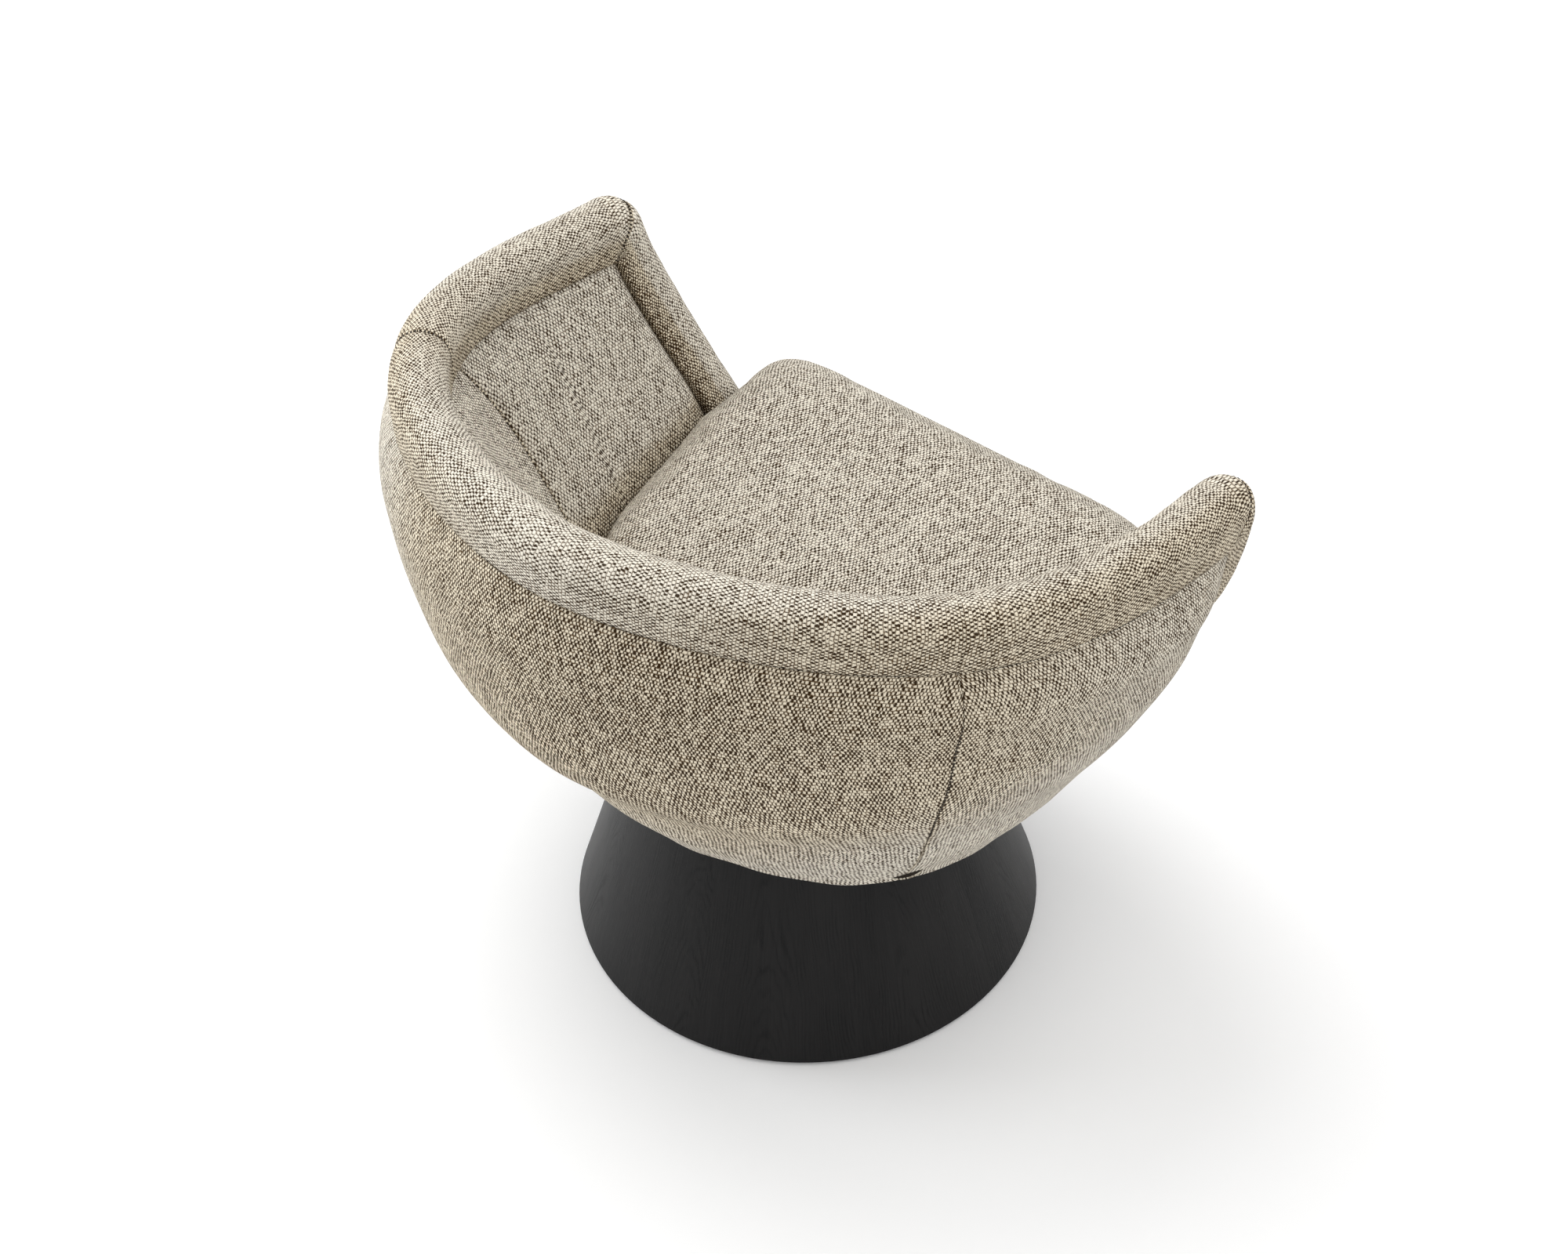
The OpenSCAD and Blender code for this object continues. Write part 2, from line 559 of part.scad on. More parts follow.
module spring_clips() {
    color(STEEL) for (i = [0:spring_count - 1]) translate([spring_x(i), 0, spring_z]) {
        translate([0, spring_start_y, 0]) spring_clip();
        translate([0, spring_start_y + spring_run * (spring_bars - 1), 0]) mirror([0, 1, 0]) spring_clip();
    }
}
module deck_pad() {
    color(FELT) translate([0, 0, pad_z]) linear_extrude(pad_t) polygon(box_outline(-4));
}

// Seat cushion: plan columns round the half, then heights
seat_clear = 1.5;
seat_mid_y = -40;
function inner_share(u, z) = let (top = inner(u, 0, 0).z) min(1, max(0, (top - z) / (top - inner_bottom_z)));
function seat_side(u, z) = let (w = inner_share(u, z)) inner(u, w, inner_puff + seat_clear);
function roll_inner_x(z) =
    let (d = rim_front_z - z, t = front_dir(d))
    front_centre(d).x - roll_r / sqrt(1 - t.x * t.x) - 2 * seat_clear;
NOSE_POWER = 0.48;
// The front of the cushion is a squared-off oval that bellies out at mid height
function seat_nose(a, z, belly) =
    let (x = roll_inner_x(z), y0 = -front_centre(rim_front_z - z).y, reach = seat_front_y - y0 - belly)
    [x * pow(sin(a), NOSE_POWER), -y0 - reach * pow(cos(a), NOSE_POWER), z];
function seat_half(z, belly) = concat(
    [for (i = [0:9]) seat_side(i / 9, z)],
    [for (i = [1:4]) seat_side(1 + i * 0.2, z)],
    [for (a = [90, 70, 55, 42, 30, 19, 9, 3, 0]) seat_nose(a, z, belly)]);
function seat_ring(z, belly, share, height) =
    let (half = seat_half(z, belly), n = len(half))
    [for (i = [0:2 * n - 3]) let (k = i < n ? i : 2 * n - 2 - i, s = i < n ? 1 : -1, p = half[k])
        [s * p.x * share, seat_mid_y + (p.y - seat_mid_y) * share, height]];
function crown(share) = mix(seat_edge_z, seat_crown_z, sqrt(1 - pow(share, 4)));
SEAT_SIDES = [[seat_base_z, seat_tuck_in], [mix(seat_base_z, seat_edge_z, 0.35), seat_belly],
              [mix(seat_base_z, seat_edge_z, 0.7), -seat_belly], [seat_edge_z, 0]];
SEAT_SHARES = [0.985, 0.955, 0.91, 0.84, 0.72, 0.54, 0.3];
module seat_cushion() {
    rings = concat([for (s = SEAT_SIDES) seat_ring(s[0], s[1], 1, s[0])],
                   [for (s = SEAT_SHARES) seat_ring(seat_edge_z, 0, s, crown(s))]);
    n = len(rings[0]);
    m = len(rings);
    sides = [for (i = [0:m - 2], j = [0:n - 1]) let (k = (j + 1) % n)
        each [[i * n + j, i * n + k, (i + 1) * n + k], [i * n + j, (i + 1) * n + k, (i + 1) * n + j]]];
    top = [for (j = [0:n - 1]) [(m - 1) * n + j, (m - 1) * n + (j + 1) % n, m * n]];
    base = [for (j = [0:n - 1]) [(j + 1) % n, j, m * n + 1]];
    color(FABRIC) polyhedron(
        concat([for (r = rings) each r], [[0, seat_mid_y, seat_crown_z], [0, seat_mid_y, seat_base_z]]),
        concat(sides, top, base), convexity = 4);
}

// Apron under the cushion, between the two front rolls
apron_top_z = seat_base_z - seam_gap;
function front_apron_y(w) = mix(seat_front_y - roll_r, -roll_foot.y, pow(w, 1.4));
function apron_point(s, w, inset) =
    let (z = mix(apron_top_z, bowl_bottom_z, w), x = roll_inner_x(z),
         edge_y = -front_centre(rim_front_z - z).y + roll_drop / 2)
    [x * s * (1 - inset / 300), -mix(front_apron_y(w), edge_y, pow(abs(s), 3)) + inset, z];
module front_apron() {
    columns = 12;
    rows = 6;
    color(FABRIC) slab(
        [for (i = [0:columns]) [for (j = [0:rows]) apron_point(1 - 2 * i / columns, j / rows, 0)]],
        [for (i = [0:columns]) [for (j = [0:rows]) apron_point(1 - 2 * i / columns, j / rows, panel_t)]]);
}
module dust_cover() {
    color(FELT) difference() {
        translate([0, 0, carrier_z - 1]) linear_extrude(0.8) polygon(bowl_outline(4, 12));
        translate([0, 0, carrier_z - 2]) cylinder(r = plate_w * 0.72, h = 3);
    }
}
// Folded end of the cloth at the foot of the right-hand joint of the bowl
fold_w = 20;
fold_h = 15;
fold_t = 3;
module seam_fold() {
    foot = bowl(-seam_u, 1, 0);
    reach_u = fold_w / norm(bowl(-seam_u + 0.1, 1, 0) - foot) * 0.1;
    top_v = 1 - fold_h / (rim_z(foot.y) - bowl_bottom_z);
    columns = 8;
    rows = 5;
    // Thickest in the middle and thin all round
    function full(i, j) = sin(180 * i / columns) * sin(90 + 80 * (0.5 - j / rows));
    // The panel below turns in towards the joint, and the fold lies on it
    function under(i) = panel_tuck * (1 - swell(i / columns * reach_u / (2 * seam_u), 0.1)) - 1.5 * seam_gap;
    function face(off) = [for (i = [0:columns]) [for (j = [0:rows])
        bowl(mix(-seam_u, -seam_u + reach_u, i / columns), mix(top_v, 1, j / rows),
             under(i) - off * (0.2 + 0.8 * full(i, j)))]];
    color(FABRIC) slab(face(fold_t), face(0));
}

// Base cone
cone_floor_r = cone_floor_d / 2;
cone_top_r = cone_top_d / 2;
cone_h = cone_top_z - glide_h;
cone_lean = (cone_floor_r - cone_top_r) / cone_h;
function cone_inside(z) = cone_floor_r - cone_wall - (z - glide_h) * cone_lean;
module base_cone() {
    edge = 1.5;
    color(BLACK_OAK) rotate_extrude($fn = 180) polygon([
        [cone_inside(glide_h), glide_h], [cone_floor_r - edge, glide_h], [cone_floor_r - edge * cone_lean, glide_h + edge],
        [cone_top_r + edge * cone_lean, cone_top_z - edge], [cone_top_r - edge, cone_top_z],
        [cone_inside(cone_top_z), cone_top_z]]);
}
top_board_z = cone_top_z - top_board_t;
module base_top_board() {
    color(PLY) difference() {
        rotate_extrude($fn = 180) polygon([
            [head_well_d / 2, top_board_z], [cone_inside(top_board_z) - glue_gap, top_board_z],
            [cone_inside(cone_top_z) - glue_gap, cone_top_z], [head_well_d / 2, cone_top_z]]);
        plate_corners(lower_screw_pitch) translate([0, 0, cone_top_z - lower_screw_l])
            cylinder(d = lower_screw_d + 2 * glue_gap, h = lower_screw_l + 1);
    }
}
ring_t = 18;
ring_inner_r = 150;
glide_r = 195;
glide_count = 6;
glide_screw_d = 4;
glide_screw_l = 14;
module glide_places() {
    for (i = [0:glide_count - 1]) rotate([0, 0, i * 360 / glide_count]) translate([glide_r, 0, 0]) children();
}
module base_floor_ring() {
    color(PLY) difference() {
        rotate_extrude($fn = 180) polygon([
            [ring_inner_r, glide_h], [cone_inside(glide_h) - glue_gap, glide_h],
            [cone_inside(glide_h + ring_t) - glue_gap, glide_h + ring_t], [ring_inner_r, glide_h + ring_t]]);
        glide_places() translate([0, 0, glide_h - 1]) cylinder(d = glide_screw_d + 2 * glue_gap, h = glide_screw_l + 1);
    }
}
module base_ribs() {
    foot_z = glide_h + ring_t + glue_gap;
    head_z = top_board_z - glue_gap;
    color(PLY) for (i = [0:3]) rotate([90, 0, i * 90])
        translate([0, 0, -rib_t / 2]) linear_extrude(rib_t) polygon([
            [ring_inner_r + 5, foot_z], [cone_inside(foot_z) - 1, foot_z],
            [cone_inside(head_z) - 1, head_z], [cone_inside(head_z) - 60, head_z]]);
}
module floor_glides() {
    color(FELT) glide_places() difference() {
        rotate_extrude($fn = 64) polygon([
            [0, 0], [14, 0], [15, 1], [15, glide_h], [0, glide_h]]);
        translate([0, 0, -1]) cylinder(d = glide_screw_d + 2 * glue_gap, h = glide_h + 2);
        translate([0, 0, -1]) cylinder(d = glide_screw_d * 2 + 2 * glue_gap, h = 1 + glide_h / 2);
    }
}
module glide_screws() {
    head_z = glide_h / 2 - 1;
    color(STEEL) glide_places() union() {
        translate([0, 0, head_z]) cylinder(d = glide_screw_d * 2, h = 1);
        translate([0, 0, head_z + 1]) cylinder(d = glide_screw_d, h = glide_screw_l - 1.5);
    }
}

// Swivel: two pressed plates with ball races, a cage, a pivot bolt with its nut
plate_corner_r = 12;
lower_screw_pitch = plate_w - 30;
upper_bolt_pitch = plate_w - 56;
lower_screw_d = 5;
lower_screw_l = 15;
upper_bolt_d = 6;
tee_d = 8;
head_well_d = 34;
nut_well_d = 44;
groove_r = ball_d / 2 + turn_gap;
race_half = ball_d / 2 + 4;
cage_gap = 0.9;
module plate_corners(pitch) {
    for (x = [-1, 1], y = [-1, 1]) translate([x * pitch / 2, y * pitch / 2, 0]) children();
}
module plate_blank() {
    side = plate_w - 2 * plate_corner_r;
    linear_extrude(plate_t) union() {
        square([plate_w, side], center = true);
        square([side, plate_w], center = true);
        plate_corners(side) circle(r = plate_corner_r, $fn = 48);
    }
}
module groove() {
    rotate_extrude($fn = 120) translate([race_r, ball_z]) circle(r = groove_r, $fn = 48);
}
module race(from_z, to_z) {
    rotate_extrude($fn = 120) translate([race_r - race_half, from_z]) square([2 * race_half, to_z - from_z]);
}
module swivel_lower_plate() {
    color(STEEL) difference() {
        union() {
            translate([0, 0, lower_plate_z]) plate_blank();
            race(lower_plate_z + plate_t - 0.5, ball_z - cage_gap);
        }
        groove();
        translate([0, 0, lower_plate_z - 1]) cylinder(d = pivot_d + 2 * glue_gap, h = plate_t + 2);
        plate_corners(lower_screw_pitch) translate([0, 0, lower_plate_z - 1])
            cylinder(d = lower_screw_d + 2 * glue_gap, h = plate_t + 2);
    }
}
module swivel_upper_plate() {
    color(STEEL) difference() {
        union() {
            translate([0, 0, upper_plate_z]) plate_blank();
            race(ball_z + cage_gap, upper_plate_z + 0.5);
        }
        groove();
        translate([0, 0, upper_plate_z - 1]) cylinder(d = pivot_d + 0.1, h = plate_t + 2);
        plate_corners(upper_bolt_pitch) translate([0, 0, upper_plate_z - 1])
            cylinder(d = upper_bolt_d + 2 * glue_gap, h = plate_t + 2);
    }
}
module lower_plate_screws() {
    color(STEEL) plate_corners(lower_screw_pitch) union() {
        translate([0, 0, lower_plate_z + plate_t]) cylinder(d = lower_screw_d * 2, h = 2);
        translate([0, 0, lower_plate_z - lower_screw_l + 1]) cylinder(d = lower_screw_d, h = lower_screw_l + plate_t - 0.9);
    }
}
module upper_plate_bolts() {
    color(STEEL) plate_corners(upper_bolt_pitch) union() {
        translate([0, 0, upper_plate_z - 3]) cylinder(d = upper_bolt_d * 1.8, h = 3);
        translate([0, 0, upper_plate_z - 0.1]) cylinder(d = upper_bolt_d, h = plate_t + carrier_t - 2);
    }
}
module tee_nuts() {
    color(STEEL) plate_corners(upper_bolt_pitch) difference() {
        union() {
            translate([0, 0, carrier_top_z - 11]) cylinder(d = tee_d, h = 11.1);
            translate([0, 0, carrier_top_z]) cylinder(d = tee_d * 2.4, h = 1.4);
        }
        translate([0, 0, carrier_top_z - 12]) cylinder(d = upper_bolt_d + 0.2, h = 14);
    }
}
module ball_cage() {
    color(FELT) difference() {
        race_ring_r = race_half - 1;
        translate([0, 0, ball_z - cage_gap / 2]) difference() {
            cylinder(r = race_r + race_ring_r, h = cage_gap);
            translate([0, 0, -1]) cylinder(r = race_r - race_ring_r, h = cage_gap + 2);
        }
        ball_places() translate([0, 0, -cage_gap]) cylinder(d = ball_d + 2 * glue_gap, h = 2 * cage_gap, $fn = 24);
    }
}
module ball_places() {
    for (i = [0:ball_count - 1]) rotate([0, 0, i * 360 / ball_count]) translate([race_r, 0, ball_z]) children();
}
module bearing_balls() {
    color(STEEL) ball_places() sphere(d = ball_d, $fn = 24);
}
pivot_head_d = 24;
pivot_head_h = 7;
washer_t = 2;
nut_h = 8;
nut_z = upper_plate_z + plate_t + turn_gap;
module pivot_bolt() {
    color(STEEL) union() {
        translate([0, 0, lower_plate_z - pivot_head_h]) cylinder(d = pivot_head_d, h = pivot_head_h);
        translate([0, 0, lower_plate_z - 1]) cylinder(d = pivot_d, h = nut_z + washer_t + nut_h + 2 - lower_plate_z);
    }
}
module pivot_nut() {
    color(STEEL) difference() {
        union() {
            translate([0, 0, nut_z]) cylinder(d = pivot_d * 2.4, h = washer_t);
            translate([0, 0, nut_z + washer_t - 0.01]) cylinder(d = pivot_d * 1.9, h = nut_h, $fn = 6);
        }
        translate([0, 0, nut_z - 1]) cylinder(d = pivot_d + 0.2, h = washer_t + nut_h + 2);
    }
}

module outer_panel_left() { outer_side_panel(); }
module outer_panel_right() { mirror([1, 0, 0]) outer_side_panel(); }
module inner_panel_left() { inner_side_panel(); }
module inner_panel_right() { mirror([1, 0, 0]) inner_side_panel(); }
module roll_arm_left() { roll_arm(); }
module roll_arm_right() { mirror([1, 0, 0]) roll_arm(); }
module roll_front_left() { roll_front(); }
module roll_front_right() { mirror([1, 0, 0]) roll_front(); }

module placed() {
    translate([0, -footprint_y, 0]) children();
}
placed() base_cone();
placed() base_top_board();
placed() base_floor_ring();
placed() base_ribs();
placed() floor_glides();
placed() glide_screws();
placed() swivel_lower_plate();
placed() lower_plate_screws();
placed() ball_cage();
placed() bearing_balls();
placed() pivot_bolt();
placed() pivot_nut();
placed() swivel_upper_plate();
placed() upper_plate_bolts();
placed() tee_nuts();
placed() carrier_board();
placed() box_frame();
placed() box_screws();
placed() seat_springs();
placed() spring_clips();
placed() deck_pad();
placed() seat_cushion();
placed() front_apron();
placed() back_ribs();
placed() corner_ribs();
placed() side_ribs();
placed() rim_rail();
placed() front_posts();
placed() outer_panel_back();
placed() outer_panel_left();
placed() outer_panel_right();
placed() inner_panel_back();
placed() inner_panel_left();
placed() inner_panel_right();
placed() roll_back();
placed() roll_arm_left();
placed() roll_arm_right();
placed() roll_front_left();
placed() roll_front_right();
placed() dust_cover();
placed() seam_fold();
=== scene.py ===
# %% [markdown]
# # Dressing a swivel tub chair
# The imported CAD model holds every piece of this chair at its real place: a plywood frame, a swivel,
# a wooden cone and plain solids where the upholstery goes. This lesson keeps the hard pieces as they
# are and gives them finishes. It replaces each soft solid with sewn, padded cloth.

# %% Load the frame
import json
import math

import bmesh
import bpy
import numpy as np
from mathutils import Matrix, Vector


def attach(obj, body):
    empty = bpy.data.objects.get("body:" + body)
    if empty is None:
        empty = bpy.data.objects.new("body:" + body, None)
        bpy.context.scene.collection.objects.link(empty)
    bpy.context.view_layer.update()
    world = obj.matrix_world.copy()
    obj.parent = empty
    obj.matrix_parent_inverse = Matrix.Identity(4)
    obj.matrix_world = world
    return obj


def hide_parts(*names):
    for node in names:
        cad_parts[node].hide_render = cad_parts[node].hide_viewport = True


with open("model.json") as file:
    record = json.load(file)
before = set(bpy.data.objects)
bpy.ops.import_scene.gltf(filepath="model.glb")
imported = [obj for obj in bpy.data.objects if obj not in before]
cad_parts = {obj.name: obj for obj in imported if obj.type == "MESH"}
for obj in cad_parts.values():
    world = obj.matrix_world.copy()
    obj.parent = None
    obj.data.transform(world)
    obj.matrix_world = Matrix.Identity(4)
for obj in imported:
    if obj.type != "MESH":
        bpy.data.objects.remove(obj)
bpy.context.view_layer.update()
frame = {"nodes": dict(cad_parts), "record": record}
nodes = frame["nodes"]
print("CAD nodes:", len(nodes))

# %% [markdown]
# ## Sizes
# The cloth has to lie exactly where the CAD solids lie, so this cell repeats the sizes that drive
# them. They are in millimetres and count from the swivel axis, as the chair's maker would measure.
# Only at the very end does a mesh go to metres and to the model's own origin, which lies in the
# middle of the chair's depth.

# %% Driving sizes
MM = 0.001
FOOTPRINT_Y = 32.0
RIM_HALF_W = 354.5
RIM_DEPTH = 427.0
RIM_WIDEST_Y = 117.0
RIM_POWER_X = 1.21
RIM_POWER_Y = 0.64
RIM_BACK_Z = 695.0
RIM_FRONT_Z = 601.5
ARM_FRONT_Y = 159.0
ROLL_R = 27.0
ROLL_DROP = 27.6
SEAM_TUCK = 7.0
SEAM_HALF = ROLL_R - SEAM_TUCK
SEAM_DIP = 0.8
FRONT_LEAN = 0.135
FRONT_RAKE = 0.18
FRONT_CURL = 44.0
CURL_FALL = 200.0
BELLY_START = 30.0
FRONT_BELLY = 6.0
BOWL_BOTTOM_Z = 256.0
PANEL_T = 11.0
ARM_INNER_LEAN = 0.517
BACK_INNER_LEAN = 0.34
SEAM_ANGLE = 59.0
SIDE_FORM = (1.115, 1.055, 1.02, 0.955, 0.87, 0.785, 0.68)
BACK_FORM = (1.067, 1.09, 1.08, 1.03, 0.885, 0.77, 0.627)
PINCH_SHARE = 0.16
FRONT_DRAW = 2.2
FRONT_FULLNESS = 8.0
SEAT_BASE_Z = 346.0
SEAT_EDGE_Z = 400.0
SEAT_CROWN_Z = 440.0
SEAT_FRONT_Y = 293.0
SEAM_GAP = 0.3
RIM_SLOPE = (RIM_BACK_Z - RIM_FRONT_Z) / (RIM_DEPTH - RIM_WIDEST_Y + ARM_FRONT_Y)
SIDE_ANGLE = math.degrees(math.acos((RIM_WIDEST_Y / (RIM_DEPTH + SEAM_HALF)) ** (1 / RIM_POWER_Y)))
print("rim slope", round(RIM_SLOPE, 4), "side column at", round(SIDE_ANGLE, 1), "degrees")

# %% [markdown]
# ## The rim as one path
# The padded roll runs round the back, along both arms, turns a tight corner at each arm's tip and
# falls down the arm front. One path serves them all: a list of places with a sideways and an upward
# direction at each. It is worked out for the left half of the chair and mirrored for the right one.
# A dense list is made once, and every piece then reads it by its distance along the path.

# %% The rim path
RIM_STEPS = 721
ARM_STEPS = 40
CORNER_STEPS = 60
FRONT_STEPS = 200
X_AXIS = np.array([1.0, 0.0, 0.0])
Z_AXIS = np.array([0.0, 0.0, 1.0])


def unit(vectors):
    return vectors / np.linalg.norm(vectors, axis=-1, keepdims=True)


def rim_height(y):
    return RIM_FRONT_Z + (y + ARM_FRONT_Y) * RIM_SLOPE


def rim_centre(angle):
    """The roll's centre line at an angle in degrees from the middle of the back."""
    sine = np.sin(np.radians(angle))
    cosine = np.clip(np.cos(np.radians(angle)), 0, 1)
    x = np.sign(sine) * RIM_HALF_W * np.abs(sine) ** RIM_POWER_X
    y = RIM_DEPTH * cosine ** RIM_POWER_Y - RIM_WIDEST_Y
    return np.stack([x, y, rim_height(y)], axis=-1)


def framed(centre, along, hint):
    """A sideways and an upward direction, square to the path."""
    side = unit(hint - along * np.sum(hint * along, axis=-1, keepdims=True))
    return centre, side, np.cross(along, side)


def rim_rings(angles):
    angles = np.asarray(angles, float)
    along = unit(rim_centre(np.minimum(angles + 1, 90.0)) - rim_centre(angles - 1))
    straight = unit(np.array([0.0, -1.0, -RIM_SLOPE]))
    along = np.where((angles > 89)[:, None], straight, along)
    return framed(rim_centre(angles), along, np.cross(Z_AXIS, along))


ARM_DIR = unit(np.array([0.0, -1.0, -RIM_SLOPE]))
TIP = np.array([RIM_HALF_W, -ARM_FRONT_Y, RIM_FRONT_Z])


def front_centre(fall):
    fall = np.asarray(fall, float)
    inward = FRONT_LEAN * fall + FRONT_CURL * (fall / CURL_FALL) ** 2
    share = np.clip((fall - BELLY_START) / (RIM_FRONT_Z - BOWL_BOTTOM_Z - BELLY_START), 0, 1)
    forward = FRONT_RAKE * fall + FRONT_BELLY * np.sin(math.pi * share) ** 1.5
    return TIP - np.stack([inward, forward, fall], axis=-1)


def lean_at(fall):
    return FRONT_LEAN + 2 * FRONT_CURL * np.asarray(fall, float) / CURL_FALL ** 2


def front_rings(falls):
    lean = lean_at(falls)
    along = unit(-np.stack([lean, np.full_like(lean, FRONT_RAKE), np.ones_like(lean)], axis=-1))
    return framed(front_centre(falls), along, np.cross(np.array([0.0, -1.0, 0.0]), along))


FRONT_DIR = unit(-np.array([FRONT_LEAN, FRONT_RAKE, 1.0]))
CORNER_TURN = math.degrees(math.acos(float(ARM_DIR @ FRONT_DIR)))
CORNER_R = ROLL_DROP + 1
CORNER_SET = CORNER_R * math.tan(math.radians(CORNER_TURN / 2))
CORNER_SIDE = unit(np.cross(ARM_DIR, FRONT_DIR))
CORNER_UP = np.cross(ARM_DIR, CORNER_SIDE)
CORNER_PIVOT = TIP - ARM_DIR * CORNER_SET - CORNER_UP * CORNER_R
corner_end_side = front_rings(np.array([CORNER_SET]))[1][0]


def corner_rings(turns):
    turns = np.asarray(turns, float)[:, None]
    cosine, sine = np.cos(np.radians(turns)), np.sin(np.radians(turns))
    centre = CORNER_PIVOT + CORNER_R * (CORNER_UP * cosine + ARM_DIR * sine)
    along = ARM_DIR * cosine - CORNER_UP * sine
    share = turns / CORNER_TURN
    return framed(centre, along, X_AXIS * (1 - share) + corner_end_side * share)


def arm_rings(ys):
    ys = np.asarray(ys, float)
    centre = np.stack([np.full_like(ys, RIM_HALF_W), ys, rim_height(ys)], axis=-1)
    along = np.broadcast_to(ARM_DIR, centre.shape)
    return framed(centre, along, np.broadcast_to(X_AXIS, centre.shape))


corner_start_y = (TIP - ARM_DIR * CORNER_SET)[1]
FRONT_FOOT = RIM_FRONT_Z - BOWL_BOTTOM_Z + ROLL_R
rim_angles = np.linspace(0, 90, RIM_STEPS)
stretches = [rim_rings(rim_angles),
             arm_rings(np.linspace(-RIM_WIDEST_Y, corner_start_y, ARM_STEPS)[1:]),
             corner_rings(np.linspace(0, CORNER_TURN, CORNER_STEPS)[1:]),
             front_rings(np.linspace(CORNER_SET, FRONT_FOOT, FRONT_STEPS)[1:])]
path_centre, path_side, path_up = (np.concatenate([s[k] for s in stretches]) for k in range(3))
steps = np.linalg.norm(np.diff(path_centre, axis=0), axis=1)
path_s = np.concatenate([[0.0], np.cumsum(steps)])
arm_end = RIM_STEPS + ARM_STEPS - 2
corner_end = arm_end + CORNER_STEPS - 1
S_SEAM = float(np.interp(SEAM_ANGLE, rim_angles, path_s[:RIM_STEPS]))
S_CORNER = float(path_s[arm_end])
S_FRONT = float(path_s[corner_end])
S_MITRE = (S_CORNER + S_FRONT) / 2
S_END = float(path_s[-1])


def read_path(s):
    """Centres, sideways and upward directions along the path; below 0 is on the right half."""
    s = np.asarray(s, float)
    flip = np.where(s < 0, -1.0, 1.0)
    found = []
    for table in (path_centre, path_side, path_up):
        rows = np.stack([np.interp(np.abs(s), path_s, table[:, k]) for k in range(3)], axis=-1)
        rows[:, 0] *= flip
        found.append(rows)
    return found[0], unit(found[1]), unit(found[2])


print("half of the rim path:", round(S_END), "mm; seam at", round(S_SEAM), "mitre at", round(S_MITRE))

# %% [markdown]
# ## Small helpers for cloth pieces
# A sewn piece is a grid of points that closes on itself. Three things make it look sewn rather than
# moulded: the cloth is drawn in sharply where a seam holds it, it swells between the seams, and it
# is never perfectly even. The unevenness comes from a few long waves with fixed phases, so the
# result is the same on every run.

# %% Grids, waves and meshes
WAVE_COUNT = 6


def swell(share, width):
    """0 at an edge, rising to 1 over a width."""
    return 1 - np.maximum(0, 1 - share / width) ** 2


def groove(distance, width):
    """1 on a seam, fading over a width."""
    return np.exp(-np.abs(distance) / width)


def waves(a, b, seed, length):
    """Slow, even unevenness between -1 and 1 over two distances in millimetres."""
    draw = np.random.default_rng(seed)
    total = np.zeros(np.broadcast(a, b).shape)
    for _ in range(WAVE_COUNT):
        heading, phase = draw.uniform(0, 2 * math.pi, 2)
        pitch = length * draw.uniform(0.7, 1.6)
        along = a * math.cos(heading) + b * math.sin(heading)
        total = total + np.sin(2 * math.pi * along / pitch + phase)
    return total / WAVE_COUNT


def crowded(count, ends, first, last):
    """Values from first to last that lie closer together near both ends."""
    even = np.linspace(0, 1, count)
    return first + (last - first) * (even - ends * np.sin(2 * math.pi * even) / (2 * math.pi))


def to_model(points):
    """From millimetres round the swivel axis to the model's metres."""
    placed = np.array(points, float)
    placed[..., 1] -= FOOTPRINT_Y
    return placed * MM


def set_open_and_painted_shading(mesh, values):
    """Says at each point how far the weave's gaps stand open: 0 is closed, about 1 is as on the back
    and 2 is as wide as in the depth of a seam. The same value paints light and shade on the cloth:
    low values paint it pale as if lit, high ones paint it darker and browner as if shaded."""
    layer = mesh.attributes.new("open", "FLOAT", "POINT")
    layer.data.foreach_set("value", np.clip(values, 0, 2).astype(np.float32).ravel())


def new_object(name, data):
    made = bpy.data.objects.new(name, data)
    bpy.context.scene.collection.objects.link(made)
    return made


def make_piece(name, points, faces, uvs=None, flip=False):
    """A mesh object from points in millimetres, with an optional weave map in metres per corner."""
    mesh = bpy.data.meshes.new(name)
    if flip:
        faces = [tuple(reversed(face)) for face in faces]
    mesh.from_pydata(to_model(points).tolist(), [], faces)
    if uvs is not None:
        layer = mesh.uv_layers.new(name="weave")
        corners = np.array([v for face in faces for v in face])
        layer.data.foreach_set("uv", (np.asarray(uvs)[corners] * MM).astype(np.float32).ravel())
    mesh.polygons.foreach_set("use_smooth", np.ones(len(mesh.polygons), bool))
    mesh.update()
    return new_object(name, mesh)


def grid_faces(rows, columns, start=0, close=False, turned=False):
    """Quads of a grid that is stored row after row."""
    faces = []
    last = columns if close else columns - 1
    for i in range(rows - 1):
        for j in range(last):
            a = start + i * columns + j
            b = start + i * columns + (j + 1) % columns
            face = (a, b, b + columns, a + columns)
            faces.append(tuple(reversed(face)) if turned else face)
    return faces


# %% [markdown]
# ## The rolled rim
# On the real chair the roll is a strip of cloth round a foam pipe, sewn to the panels below along
# both edges. Its section is a half-round top over sides that draw in to the two seams. Where two
# lengths of roll meet, at the upright joints and at the mitred arm tips, the stitches pull a small
# valley. Here one section is carried along the path and shrinks a little at each end. At the tip
# it grows a little, because the cloth stands up where it turns. The joint over the roll at the right
# of the back can't be seen in the photograph, so no valley is pulled there.

# %% Roll pieces
SIDE_STEPS = 9
TOP_STEPS = 22
BASE_STEPS = 4


